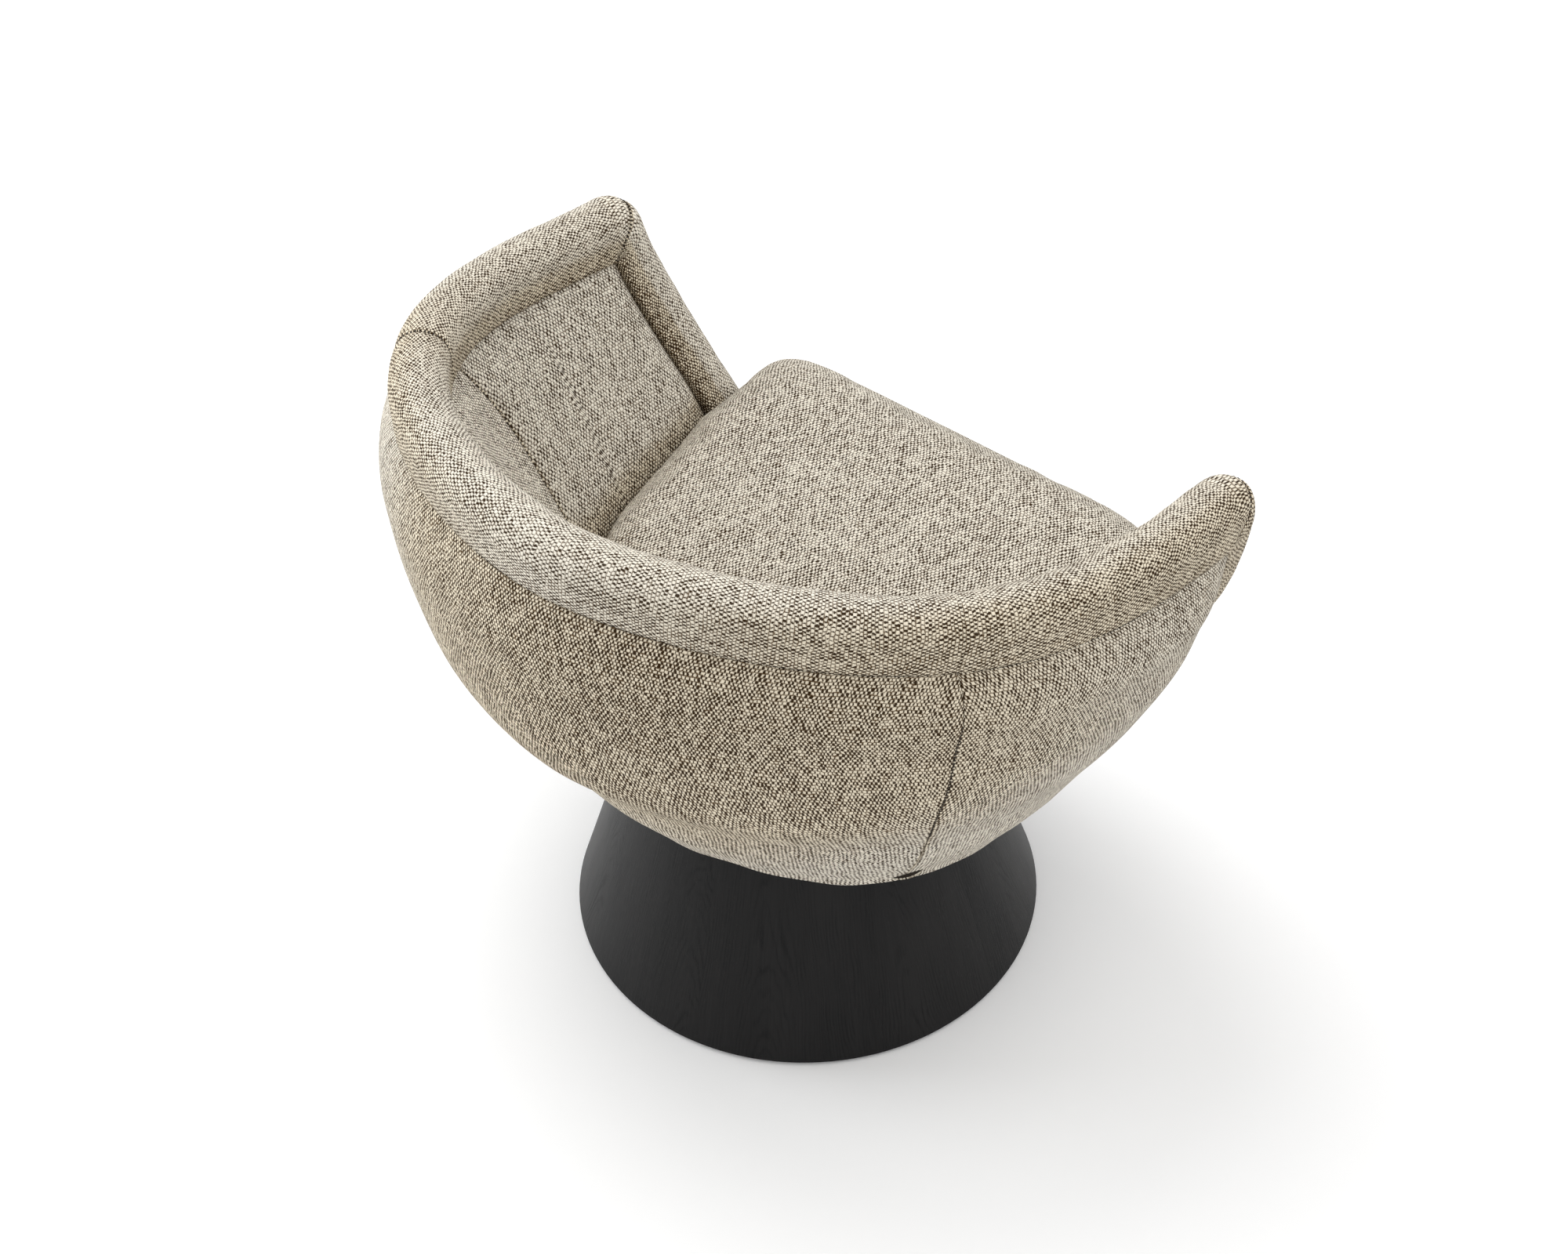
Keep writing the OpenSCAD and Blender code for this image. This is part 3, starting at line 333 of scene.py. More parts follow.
def roll_section():
    """Outline from the outer seam over the top to the inner seam and back underneath."""
    fall = np.linspace(1, 0, SIDE_STEPS, endpoint=False)
    width = ROLL_R - SEAM_DIP * fall ** 8
    turn = np.radians(np.linspace(0, 180, TOP_STEPS))
    outer = np.stack([width, -ROLL_DROP * fall], axis=-1)
    top = np.stack([ROLL_R * np.cos(turn), ROLL_R * np.sin(turn)], axis=-1)
    inner = np.stack([-width[::-1], -ROLL_DROP * fall[::-1]], axis=-1)
    base = np.linspace(-SEAM_HALF, SEAM_HALF, BASE_STEPS + 2)[1:-1]
    under = np.stack([base, np.full_like(base, -ROLL_DROP)], axis=-1)
    return np.concatenate([outer, top, inner, under])


SECTION = roll_section()
section_step = np.linalg.norm(np.diff(SECTION, axis=0), axis=1)
SECTION_V = np.concatenate([[0.0], np.cumsum(section_step)])
SECTION_TOP = float(SECTION_V[SIDE_STEPS + TOP_STEPS // 2])
ROLL_MIDDLE = -4.0
TIP_LIFT = 0.13
FRONT_LIFT = 0.14


def roll_lift(s):
    """How much higher than round the roll stands at distances along the path."""
    share = np.clip((np.abs(s) - S_CORNER) / (S_FRONT - S_CORNER), 0, 1)
    return 1 + TIP_LIFT * np.sin(math.pi * share) + FRONT_LIFT * share


def roll_open_and_painted_shading(s, run, end_distance):
    """How open the weave is over a roll, which also paints light and shade on it. The crest is painted
    lit, so its weave closes up and reads paler, and the flank by the inner joint is painted shaded and
    shows the most ground yarn, most of all down the arm fronts."""
    outer_flank = np.clip(SECTION[:, 0] / ROLL_R, 0, 1)
    inner_side = np.clip(-SECTION[:, 0] / ROLL_R, 0, 1)
    inner_depth = np.clip(-SECTION[:, 1] / ROLL_DROP, 0, 1) * (inner_side > 0)
    by_mitre = np.clip((s - S_CORNER) / (S_FRONT - S_CORNER), 0, 1)[:, None]
    on_left = np.clip(run / S_SEAM, 0, 1)
    on_left_arm = np.clip((run - S_SEAM) / 120, 0, 1)
    # Painted light and shade: the crest is paler at the middle of the back, the outer flank is darker
    # except on the left arm, where it is paler, and the deep inner flank is darker, most of all down
    # the arm fronts.
    crest = 0.66 + 0.20 * np.clip(np.abs(run) / S_SEAM, 0, 1) + 0.05 * (on_left - on_left_arm)
    open_and_painted_shading = crest + (0.16 - 0.31 * on_left_arm) * outer_flank + 0.30 * inner_depth
    open_and_painted_shading = open_and_painted_shading + by_mitre * (0.65 * inner_depth - 0.16 * inner_side)[None, :]
    return open_and_painted_shading + 0.6 * groove(end_distance, 1.3)[:, None]


def roll_piece(name, first, last, rings, hand, seed, valley_at_first=True):
    """One length of the roll, from one distance along the path to another, on one hand."""
    gap = SEAM_GAP / 2
    s = crowded(rings, 0.82, first + gap, last - gap)
    centre, side, up = read_path(s)
    end_distance = np.minimum(s - first, last - s) if valley_at_first else last - s
    # The stitches pull a narrow valley at the very end, and the cloth round it sinks a little
    shrink = 1 - 0.09 * groove(end_distance, 2.0) - 0.02 * groove(end_distance, 12.0)
    across, high = SECTION[:, 0][None, :], SECTION[:, 1][None, :]
    high = np.where(high > 0, high * roll_lift(s)[:, None], high)
    run = (s * hand)[:, None]
    uneven = waves(run, SECTION_V[None, :], 1, 120.0) * 0.9
    uneven = uneven + waves(run, SECTION_V[None, :], 51, 38.0) * 0.35
    upper = np.clip((high + ROLL_DROP) / 20, 0, 1)
    scale = shrink[:, None] + uneven * upper / ROLL_R
    a = across * scale
    b = (high - ROLL_MIDDLE) * np.where(high > -ROLL_DROP * 0.9, scale, 1) + ROLL_MIDDLE
    points = centre[:, None, :] + side[:, None, :] * a[..., None] + up[:, None, :] * b[..., None]
    points[..., 2] = np.maximum(points[..., 2], BOWL_BOTTOM_Z)
    m, n = points.shape[:2]
    faces = grid_faces(m, n, close=True)
    start_cap, end_cap = m * n, m * n + 1
    caps = np.stack([points[0].mean(axis=0), points[-1].mean(axis=0)])
    faces += [(start_cap, (j + 1) % n, j) for j in range(n)]
    faces += [(end_cap, (m - 1) * n + j, (m - 1) * n + (j + 1) % n) for j in range(n)]
    flat = np.concatenate([points.reshape(-1, 3), caps])
    v = SECTION_V - SECTION_TOP
    uv = np.stack(np.broadcast_arrays(v[None, :], run), axis=-1).reshape(-1, 2)
    uv = np.concatenate([uv, [[0, run[0, 0]], [0, run[-1, 0]]]])
    flat[:, 0] *= hand
    piece = make_piece(name, flat, faces, uv + seed * 37.0, flip=hand < 0)
    open_and_painted_shading = roll_open_and_painted_shading(s, run, end_distance)
    set_open_and_painted_shading(piece.data, np.concatenate([open_and_painted_shading.ravel(), [0.5, 0.5]]))
    return piece


rolls = {
    "roll_back": roll_piece("rim_roll_back", -S_SEAM, S_SEAM, 330, 1, 1, valley_at_first=False),
    "roll_arm_left": roll_piece("rim_roll_arm_left", S_SEAM, S_MITRE, 190, 1, 2),
    "roll_arm_right": roll_piece("rim_roll_arm_right", S_SEAM, S_MITRE, 190, -1, 1,
                                 valley_at_first=False),
    "roll_front_left": roll_piece("rim_roll_front_left", S_MITRE, S_END, 220, 1, 4),
    "roll_front_right": roll_piece("rim_roll_front_right", S_MITRE, S_END, 220, -1, 5),
}
print("rolls:", [len(r.data.polygons) for r in rolls.values()], "faces")

# %% [markdown]
# ## The outer cover
# Three panels of cloth are pulled over the outside of the bowl. They bulge out just under the roll,
# fall nearly straight, and draw in to the small ring above the base. The bowl's form is a rule:
# the rim's plan scaled by one curve in width and another in depth. Columns run from the middle of
# the back (0) past the side (1) to the arm front (2), and rows from the rim seam down (0 to 1).
# The cloth is pulled long towards the foot, so its loops look longer there. Its weave is painted with
# light and shade: darker and more open at the middle of the back, paler and more closed towards the
# arms and the foot.

# %% Outer panels
def smooth(values, t):
    """A smooth curve through evenly spaced values."""
    p = np.array(values)
    p = np.concatenate([[2 * p[0] - p[1]], p, [2 * p[-1] - p[-2]]])
    n = len(values) - 1
    s = np.clip(t, 0, 1) * n
    i = np.minimum(np.floor(s).astype(int), n - 1)
    f = s - i
    a, b, c, d = p[i], p[i + 1], p[i + 2], p[i + 3]
    return b + 0.5 * f * (c - a + f * (2 * a - 5 * b + 4 * c - d + f * (3 * (b - c) + d - a)))


def pinch(v):
    return np.maximum(0, 1 - v / PINCH_SHARE) ** 2


def side_form(v):
    return smooth(SIDE_FORM, v) - (SIDE_FORM[0] - 1) * pinch(v)


def back_form(v):
    return smooth(BACK_FORM, v) - (BACK_FORM[0] - 1) * pinch(v)


def place_at(rings, side, up):
    return rings[0] + rings[1] * side + rings[2] * up


def turned_in(share):
    """How far cloth has turned under a round edge: 1 at the edge, 0 from one bend away."""
    return 1 - np.sqrt(1 - np.clip(1 - share, 0, 1) ** 2 * 0.98)


def level(vectors):
    """The level part of sideways directions."""
    flat = vectors.copy()
    flat[:, 2] = 0
    return unit(flat)


def seam_columns(u, side):
    """For columns from the back to the side: the places of the seam that lies off to one side of the
    rim's path, and the level outward direction there."""
    rings = rim_rings(np.abs(u) * SIDE_ANGLE)
    seam = place_at(rings, side, -ROLL_DROP - SEAM_GAP)
    outward = level(rings[1])
    mirror = np.where(u < 0, -1.0, 1.0)
    seam[:, 0] *= mirror
    outward[:, 0] *= mirror
    return seam, outward


def bowl_columns(u):
    return seam_columns(u, SEAM_HALF)


def edge_start(side):
    """How far down the arm front its outer seam (1) or its inner seam (-1) leaves the tip."""
    return CORNER_SET - side * SEAM_HALF * lean_at(CORNER_SET)


OUTER_FOOT = RIM_FRONT_Z - BOWL_BOTTOM_Z - SEAM_HALF * 2 / 3


def hung(seam, v):
    """Where the cloth lies at shares v of the way down from places of the seam."""
    x = seam[:, 0:1] * side_form(v)
    y = seam[:, 1:2] * back_form(v)
    z = seam[:, 2:3] * (1 - v) + BOWL_BOTTOM_Z * v
    return np.stack([x, y, z], axis=-1)


def bowl_surface(u, v, inset):
    """Points of the bowl's outside; u and v are 1-D, inset is a grid of depths under the surface."""
    seam, outward = bowl_columns(np.clip(u, -1, 1))
    points = hung(seam, v)
    away = np.broadcast_to(outward[:, None, :], points.shape)
    # Ahead of the side column every row runs on to the roll of the arm front
    side_seam, _ = bowl_columns(np.array([1.0]))
    sx, sy, sz = np.moveaxis(hung(side_seam, v), -1, 0)
    t = np.clip(u - 1, 0, 1)[:, None]
    falls = edge_start(1) + (OUTER_FOOT - edge_start(1)) * v
    edge = place_at(front_rings(falls), SEAM_HALF, -ROLL_DROP - SEAM_GAP)[None, :, :]
    drop_x = sx + FRONT_FULLNESS - edge[..., 0]
    fx = sx + FRONT_FULLNESS * t - drop_x * t ** FRONT_DRAW
    fy = sy * (1 - t) + edge[..., 1] * t
    fz = np.maximum(sz * (1 - t) + edge[..., 2] * t, BOWL_BOTTOM_Z)
    slope = FRONT_FULLNESS - drop_x * FRONT_DRAW * np.maximum(t, 1e-6) ** (FRONT_DRAW - 1)
    facing = np.stack(np.broadcast_arrays(sy - edge[..., 1], slope, 0 * slope), axis=-1)
    front = np.stack([fx, fy, fz], axis=-1)
    ahead = (u > 1)[:, None, None]
    points = np.where(ahead, front, points)
    away = np.where(ahead, unit(facing), away)
    return points - away * inset[..., None]


def cloth_lengths(points, stretch=1.0):
    """Cloth lengths along a grid of points: sideways from its first column, and down from its top row.
    Where the cloth is stretched down, less of it covers the same length."""
    across = np.linalg.norm(np.diff(points, axis=0), axis=-1)
    down = np.linalg.norm(np.diff(points, axis=1), axis=-1) / stretch
    run = np.concatenate([np.zeros((1, points.shape[1])), np.cumsum(across, axis=0)])
    fall = np.concatenate([np.zeros((points.shape[0], 1)), np.cumsum(down, axis=1)], axis=1)
    return run, fall


def to_side(run):
    """Distances from the nearer side of a panel."""
    return np.minimum(run, run[-1:] - run)


def sewn_panel(name, outside, inside, hand, seed, open_and_painted_shading, stretch=1.0, loops=1.0):
    """A closed panel between an outside and an inside grid of columns that run down.
    loops says how much larger than on the back the loops of the cloth look."""
    m, n = outside.shape[:2]
    faces = grid_faces(m, n)
    faces += grid_faces(m, n, start=m * n, turned=True)
    rim = [(i, 0) for i in range(m)] + [(m - 1, j) for j in range(1, n)]
    rim += [(i, n - 1) for i in range(m - 2, -1, -1)] + [(0, j) for j in range(n - 2, 0, -1)]
    for (i, j), (k, l) in zip(rim, rim[1:] + rim[:1]):
        a, b = i * n + j, k * n + l
        faces.append((a + m * n, b + m * n, b, a))
    run, fall = cloth_lengths(outside, stretch)
    uv = np.stack([run - run[m // 2], -fall], axis=-1).reshape(-1, 2) / loops
    uv = np.concatenate([uv, uv]) + seed * 41.0
    points = np.concatenate([outside.reshape(-1, 3), inside.reshape(-1, 3)])
    points[:, 0] *= hand
    piece = make_piece(name, points, faces, uv, flip=hand < 0)
    set_open_and_painted_shading(piece.data, np.concatenate([open_and_painted_shading.ravel(), open_and_painted_shading.ravel()]))
    return piece


# Half of the gap between two panels, as a share of the way from the back to the side
HALF_GAP = SEAM_GAP / 2 / (RIM_DEPTH * math.pi / 180) / SIDE_ANGLE
FOOT_STRETCH = 1.0
FOOT_BEND = 4.0
FOOT_PULLS = 190.0
HEM_SAG = 2.0
CORNER_SAG = 5.0
CORNER_U = 0.6


def outer_open_and_painted_shading(u, hand, seam_side, down_share):
    """How open the weave is on the outside: most in the seams and high on the middle of the back. Away
    from the seams it paints shade on the middle of the back and light on the sides and towards the
    foot.
    """
    # Painted light and shade: the middle of the back is made darker, both sides paler, the left most,
    # and the lower cloth paler towards the foot.
    to_arm = np.clip((np.abs(u) - 0.9) / 0.4, 0, 1)
    leftwards = np.clip((u * hand - 0.1) / 0.7, 0, 1) * (1 - 0.35 * to_arm)
    rightwards = np.clip((-u * hand - 0.3) / 0.7, 0, 1)
    around = (1.16 - 0.54 * leftwards - 0.30 * rightwards)[:, None]
    return around * (1 - 0.45 * np.clip(down_share - 0.3, 0, 1)) + 0.4 * groove(seam_side, 1.2)


def outer_panel(name, from_u, to_u, columns, rows, hand, seed):
    u = crowded(columns, 0.75, from_u + HALF_GAP, to_u - HALF_GAP)
    v = crowded(rows, 0.8, 0, 1)
    run, fall = cloth_lengths(bowl_surface(u, v, np.zeros((columns, rows))))
    seam_side = to_side(run)
    down_share = fall / fall[:, -1:]
    # The joint is pulled in most under the rim and runs out towards the foot
    seam_depth = 1 - 0.8 * np.clip(down_share * 1.5 - 0.5, 0, 1)
    inset = seam_depth * (1.3 * groove(seam_side, 1.6) + 0.6 * groove(seam_side, 14.0))
    fullness_reach = 34 + 36 * np.clip((np.abs(u) - 0.9) / 0.4, 0, 1)[:, None]
    full_below_seam = (SEAM_TUCK - SEAM_DIP * groove(fall, 2.0)) * np.exp(-(fall / fullness_reach) ** 2)
    inset = inset - full_below_seam
    to_foot = fall[:, -1:] - fall
    inset = inset + FOOT_BEND * turned_in(to_foot / FOOT_BEND)
    # Pulls in the cloth run up from its foot, which is stapled under the tub
    pulls = waves(run, fall * 0.22, seed, 46.0) * np.clip(1 - to_foot / FOOT_PULLS, 0, 1) ** 1.5
    free = swell(np.minimum(seam_side / 60, 1), 1)
    inset = inset - (waves(run, fall, seed + 9, 170.0) * 1.1 + pulls) * free
    outside = bowl_surface(u, v, inset)
    inside = bowl_surface(u, v, np.full((columns, rows), PANEL_T))
    # The foot hangs a little, most of all under the rear corners
    sag = HEM_SAG + CORNER_SAG * np.exp(-((np.abs(u) - CORNER_U) / 0.22) ** 2)[:, None]
    hang = sag * np.clip(1 - to_foot / 25, 0, 1) ** 2
    outside[..., 2] -= hang
    inside[..., 2] -= hang
    open_and_painted_shading = outer_open_and_painted_shading(u, hand, seam_side, down_share)
    stretch = 1 + FOOT_STRETCH * np.clip((v[1:] - 0.15) / 0.4, 0, 1)
    return sewn_panel(name, outside, inside, hand, seed, open_and_painted_shading, stretch)


SEAM_U = SEAM_ANGLE / SIDE_ANGLE
outer = {
    "outer_panel_back": outer_panel("cover_outer_back", -SEAM_U, SEAM_U, 230, 110, 1, 11),
    "outer_panel_left": outer_panel("cover_outer_left", SEAM_U, 2, 150, 110, 1, 12),
    "outer_panel_right": outer_panel("cover_outer_right", SEAM_U, 2, 150, 110, -1, 13),
}
print("outer panels:", [len(p.data.polygons) for p in outer.values()], "faces")

# %% [markdown]
# ## The inner cover
# Inside the tub the cloth lies over soft wadding. It is fuller than the outside: each panel swells
# between its seams, and the seams sink in. The joints between the back and the arm panels lean
# forward as they come off the roll. Low down the cushion presses the wadding flat.

# %% Inner panels
INNER_FOOT = RIM_FRONT_Z - SEAT_BASE_Z + SEAM_HALF / 2
INNER_PUFF = 9.0
INNER_LOOPS = 1.2
INNER_SEAM_TURN = 6.0
INNER_SEAM_LEAN = 5.0
CUSHION_TUCK = 7.0


def lean_in(seam, z):
    """Places inside the tub at heights z, below places of the inner seam."""
    fall = seam[:, 2:3] - z
    x = seam[:, 0:1] * (1 - ARM_INNER_LEAN * fall / (RIM_HALF_W - SEAM_HALF))
    y = seam[:, 1:2] * (1 - BACK_INNER_LEAN * fall / (RIM_DEPTH - RIM_WIDEST_Y - SEAM_HALF))
    return np.stack([x, y, z], axis=-1)


def inner_columns(u):
    return seam_columns(u, -SEAM_HALF)


def inner_surface(u, w, inset):
    """Points of the tub's inside. u is a grid, because the joints lean; w is 1-D."""
    columns, rows = u.shape
    points = np.empty((columns, rows, 3))
    side_seam, _ = inner_columns(np.array([1.0]))
    for j in range(rows):
        seam, outward = inner_columns(np.clip(u[:, j], -1, 1))
        z = seam[:, 2:3] * (1 - w[j]) + SEAT_BASE_Z * w[j]
        back = lean_in(seam, z)[:, 0, :]
        t = np.clip(u[:, j] - 1, 0, 1)[:, None]
        start = lean_in(side_seam, side_seam[:, 2:3] * (1 - w[j]) + SEAT_BASE_Z * w[j])[0, 0]
        fall = edge_start(-1) + (INNER_FOOT - edge_start(-1)) * w[j]
        edge = place_at(front_rings(np.array([fall])), -SEAM_HALF, -ROLL_DROP - 2 * SEAM_GAP)[0]
        front = start * (1 - t) + edge * t
        front[:, 2] = np.maximum(front[:, 2], SEAT_BASE_Z)
        facing = unit(np.array([start[1] - edge[1], edge[0] - start[0], 0.0]))
        ahead = (u[:, j] > 1)[:, None]
        away = np.where(ahead, facing, outward)
        points[:, j] = np.where(ahead, front, back) - away * inset[:, j, None]
    return points


def inner_seam_u(w):
    """Where the joint between the back and an arm panel runs, at shares of the way down."""
    return (SEAM_ANGLE + INNER_SEAM_TURN + INNER_SEAM_LEAN * swell(w, 0.4)) / SIDE_ANGLE


def inner_panel(name, is_side, columns, rows, hand, seed):
    w = crowded(rows, 0.7, 0, 1)
    share = crowded(columns, 0.75, 0, 1)[:, None]
    seam = inner_seam_u(w)[None, :]
    first, last = (seam + HALF_GAP, 2.0) if is_side else (HALF_GAP - seam, seam - HALF_GAP)
    u = first + (last - first) * share
    run, fall = cloth_lengths(inner_surface(u, w, np.zeros((columns, rows))))
    s = run / run[-1:]
    puff = INNER_PUFF * swell(s, 0.14) * swell(1 - s, 0.14) * swell(w, 0.22)[None, :]
    seam_side = to_side(run)
    puff = puff - 1.8 * groove(seam_side, 2.2) - 1.2 * groove(fall, 3.2)
    beside_cushion = np.clip((w - 0.62) / 0.2, 0, 1)[None, :] ** 1.5
    puff = puff - CUSHION_TUCK * beside_cushion
    free = swell(np.minimum(seam_side / 50, 1), 1) * swell(w, 0.2)[None, :]
    puff = puff + waves(run, fall, seed, 130.0) * 1.3 * free
    outside = inner_surface(u, w, puff)
    inside = inner_surface(u, w, np.full((columns, rows), -PANEL_T))
    # Painted shade: the cloth just above the cushion is made darker, with wider gaps.
    open_and_painted_shading = 0.80 + 0.50 * beside_cushion + 0.4 * groove(seam_side, 1.2)
    return sewn_panel(name, outside, inside, hand, seed, open_and_painted_shading, loops=INNER_LOOPS)


inner = {
    "inner_panel_back": inner_panel("cover_inner_back", False, 190, 80, 1, 21),
    "inner_panel_left": inner_panel("cover_inner_left", True, 110, 80, 1, 22),
    "inner_panel_right": inner_panel("cover_inner_right", True, 110, 80, -1, 23),
}
print("inner panels:", [len(p.data.polygons) for p in inner.values()], "faces")

# %% [markdown]
# ## The apron
# Below the cushion a strip of the same cloth closes the front between the two arm rolls. It bows
# forward in the middle and is sewn in at both ends, so it is one more panel on the same helper.

# %% Front apron
SEAT_LOOPS = 1.08
SEAT_CLEAR = 1.5
APRON_BEND = 8.0
ROLL_FOOT_Y = -float(front_centre(RIM_FRONT_Z - BOWL_BOTTOM_Z)[1])


def roll_inner_x(z):
    """Half of the free width between the two front rolls at a height."""
    fall = RIM_FRONT_Z - np.asarray(z, float)
    lean = lean_at(fall)
    along_x = -lean / np.sqrt(lean ** 2 + FRONT_RAKE ** 2 + 1)
    return front_centre(fall)[..., 0] - ROLL_R / np.sqrt(1 - along_x ** 2) - 2 * SEAT_CLEAR


def apron_surface(s, w, inset):
    top = SEAT_BASE_Z - SEAM_GAP
    z = (top + (BOWL_BOTTOM_Z - top) * w)[None, :] + 0 * s[:, None]
    edge_y = -front_centre(RIM_FRONT_Z - z)[..., 1] + ROLL_DROP / 2
    middle_y = (SEAT_FRONT_Y - ROLL_R + (ROLL_FOOT_Y - SEAT_FRONT_Y + ROLL_R) * w ** 1.4)[None, :]
    bow = np.abs(s[:, None]) ** 3
    y = -(middle_y * (1 - bow) + edge_y * bow) + inset
    x = roll_inner_x(z) * s[:, None] * (1 - inset / 300)
    return np.stack([x, y, z], axis=-1)


def apron_piece(columns, rows):
    s = crowded(columns, 0.75, 1, -1)
    w = crowded(rows, 0.7, 0, 1)
    run, _ = cloth_lengths(apron_surface(s, w, np.zeros((columns, rows))))
    fall = (w * (SEAT_BASE_Z - BOWL_BOTTOM_Z))[None, :] + 0 * run
    inset = 2.4 * groove(to_side(run), 4.0) + 1.5 * groove(fall, 5.0)
    inset = inset + APRON_BEND * turned_in((fall[:, -1:] - fall) / APRON_BEND)
    inset = inset + waves(run, fall, 31, 110.0) + 0.6
    outside = apron_surface(s, w, inset)
    inside = apron_surface(s, w, np.full((columns, rows), PANEL_T))
    open_and_painted_shading = np.full((columns, rows), 0.7)
    return sewn_panel("cover_front_apron", outside, inside, 1, 31, open_and_painted_shading, loops=SEAT_LOOPS)


apron = apron_piece(130, 56)
print("apron:", len(apron.data.polygons), "faces")

# %% [markdown]
# ## The seat cushion
# The cushion is foam and wadding in a sewn cover. Its top is crowned and its front rolls over softly.
# A modelled shape alone looks cast, so it is inflated: the CAD form is copied a little smaller,
# remeshed evenly, and Blender's cloth solver presses the cover outwards. The flat underside is
# pinned. How far a point may move is then capped, so the cushion stays in the space between the arms.

# %% Seat cushion form
NOSE_POWER = 0.36
SEAT_MID_Y = -40.0
FRONT_PLUMP = 3.0
FRONT_SKEW = 0.032
SEAT_SHIFT = 2.0
SEAT_SIDE_STEPS = 26
SEAT_ARM_STEPS = 9
SEAT_NOSE_STEPS = 27
# Shares of the edge's height, and how far back the cushion's front lies there
SEAT_LEVELS = [(0.0, 10.0), (0.06, 7.0), (0.18, 3.0), (0.35, 1.0), (0.52, -1.5), (0.7, -2.0),
               (0.86, -1.0)]
# The rings of the crown, as shares of the outline's size
CROWN_SHARES = (1.0, 0.995, 0.985, 0.965, 0.93, 0.88, 0.8, 0.7, 0.57, 0.42, 0.25, 0.1)


def inner_at(u, z, inset):
    """One point of the tub's inside at a height, set off into the tub."""
    if u <= 1:
        seam, outward = inner_columns(np.array([u]))
        return lean_in(seam, np.array([[z]]))[0, 0] - outward[0] * inset
    top = inner_surface(np.array([[u]]), np.array([0.0]), np.array([[0.0]]))[0, 0, 2]
    w = min(1.0, max(0.0, (top - z) / (top - SEAT_BASE_Z)))
    return inner_surface(np.array([[u]]), np.array([w]), np.array([[inset]]))[0, 0]


def seat_half(z, belly, draw_in):
    """Half of the cushion's outline at a height, from the back's middle to the front's."""
    inset = INNER_PUFF - CUSHION_TUCK + SEAT_CLEAR + draw_in
    side = [inner_at(u, z, inset) for u in np.linspace(0, 1, SEAT_SIDE_STEPS)]
    side += [inner_at(u, z, inset) for u in np.linspace(1, 1.8, SEAT_ARM_STEPS)[1:]]
    x = float(roll_inner_x(z)) - draw_in
    y0 = -float(front_centre(RIM_FRONT_Z - z)[1])
    reach = SEAT_FRONT_Y + FRONT_PLUMP - y0 - belly - draw_in
    nose = []
    for a in np.radians(90 * (1 - np.linspace(0, 1, SEAT_NOSE_STEPS) ** 0.8)):
        nose_x = x * math.sin(a) ** NOSE_POWER
        nose_y = -y0 - reach * math.cos(a) ** NOSE_POWER
        nose.append(np.array([nose_x, nose_y, z]))
    return np.array(side + nose)


def seat_ring(z, belly, share, height, draw_in):
    half = seat_half(z, belly, draw_in)
    other = half[-2:0:-1] * np.array([-1, 1, 1])
    ring = np.concatenate([half, other])
    ring[:, 0] *= share
    ring[:, 1] = SEAT_MID_Y + (ring[:, 1] - SEAT_MID_Y) * share
    # The cushion sits a little askew at the front, with its left corner further out
    ring[:, 1] -= FRONT_SKEW * ring[:, 0] * np.clip((-80 - ring[:, 1]) / 120, 0, 1)
    ring[:, 0] += SEAT_SHIFT
    ring[:, 2] = height
    return ring


def seat_form(draw_in):
    """The cushion as rings up its side and over its crown, closed by a point above and one below."""
    rings = []
    for share, belly in SEAT_LEVELS:
        z = SEAT_BASE_Z + share * (SEAT_EDGE_Z - SEAT_BASE_Z)
        rings.append(seat_ring(z, belly, 1, z, draw_in))
    crown_h = SEAT_CROWN_Z - SEAT_EDGE_Z - draw_in
    for share in CROWN_SHARES:
        height = SEAT_EDGE_Z + crown_h * math.sqrt(1 - share ** 8)
        rings.append(seat_ring(SEAT_EDGE_Z, 0, share, height, draw_in))
    m, n = len(rings), len(rings[0])
    poles = [[0, SEAT_MID_Y, SEAT_CROWN_Z - draw_in], [0, SEAT_MID_Y, SEAT_BASE_Z]]
    points = np.concatenate(rings + [poles])
    faces = grid_faces(m, n, close=True)
    faces += [((m - 1) * n + j, (m - 1) * n + (j + 1) % n, m * n) for j in range(n)]
    faces += [((j + 1) % n, j, m * n + 1) for j in range(n)]
    return points, faces


DRAW_IN = 3.5
seat_points, seat_faces = seat_form(DRAW_IN)
cushion = make_piece("seat_cushion_cover", seat_points, seat_faces)
print("cushion form:", len(seat_points), "points")

# %% Inflate the cushion
def run_modifier(piece, modifier):
    """Applies one modifier by taking the evaluated mesh."""
    depsgraph = bpy.context.evaluated_depsgraph_get()
    mesh = bpy.data.meshes.new_from_object(piece.evaluated_get(depsgraph))
    piece.modifiers.remove(modifier)
    old = piece.data
    piece.data = mesh
    mesh.name = piece.name
    bpy.data.meshes.remove(old)


def mesh_points(piece):
    flat = np.empty(len(piece.data.vertices) * 3)
    piece.data.vertices.foreach_get("co", flat)
    return flat.reshape(-1, 3)


def set_points(piece, points):
    piece.data.vertices.foreach_set("co", np.asarray(points).ravel())
    piece.data.update()


def remesh(piece, voxel):
    modifier = piece.modifiers.new("even", "REMESH")
    modifier.mode = "VOXEL"
    modifier.voxel_size = voxel
    modifier.use_smooth_shade = True
    run_modifier(piece, modifier)


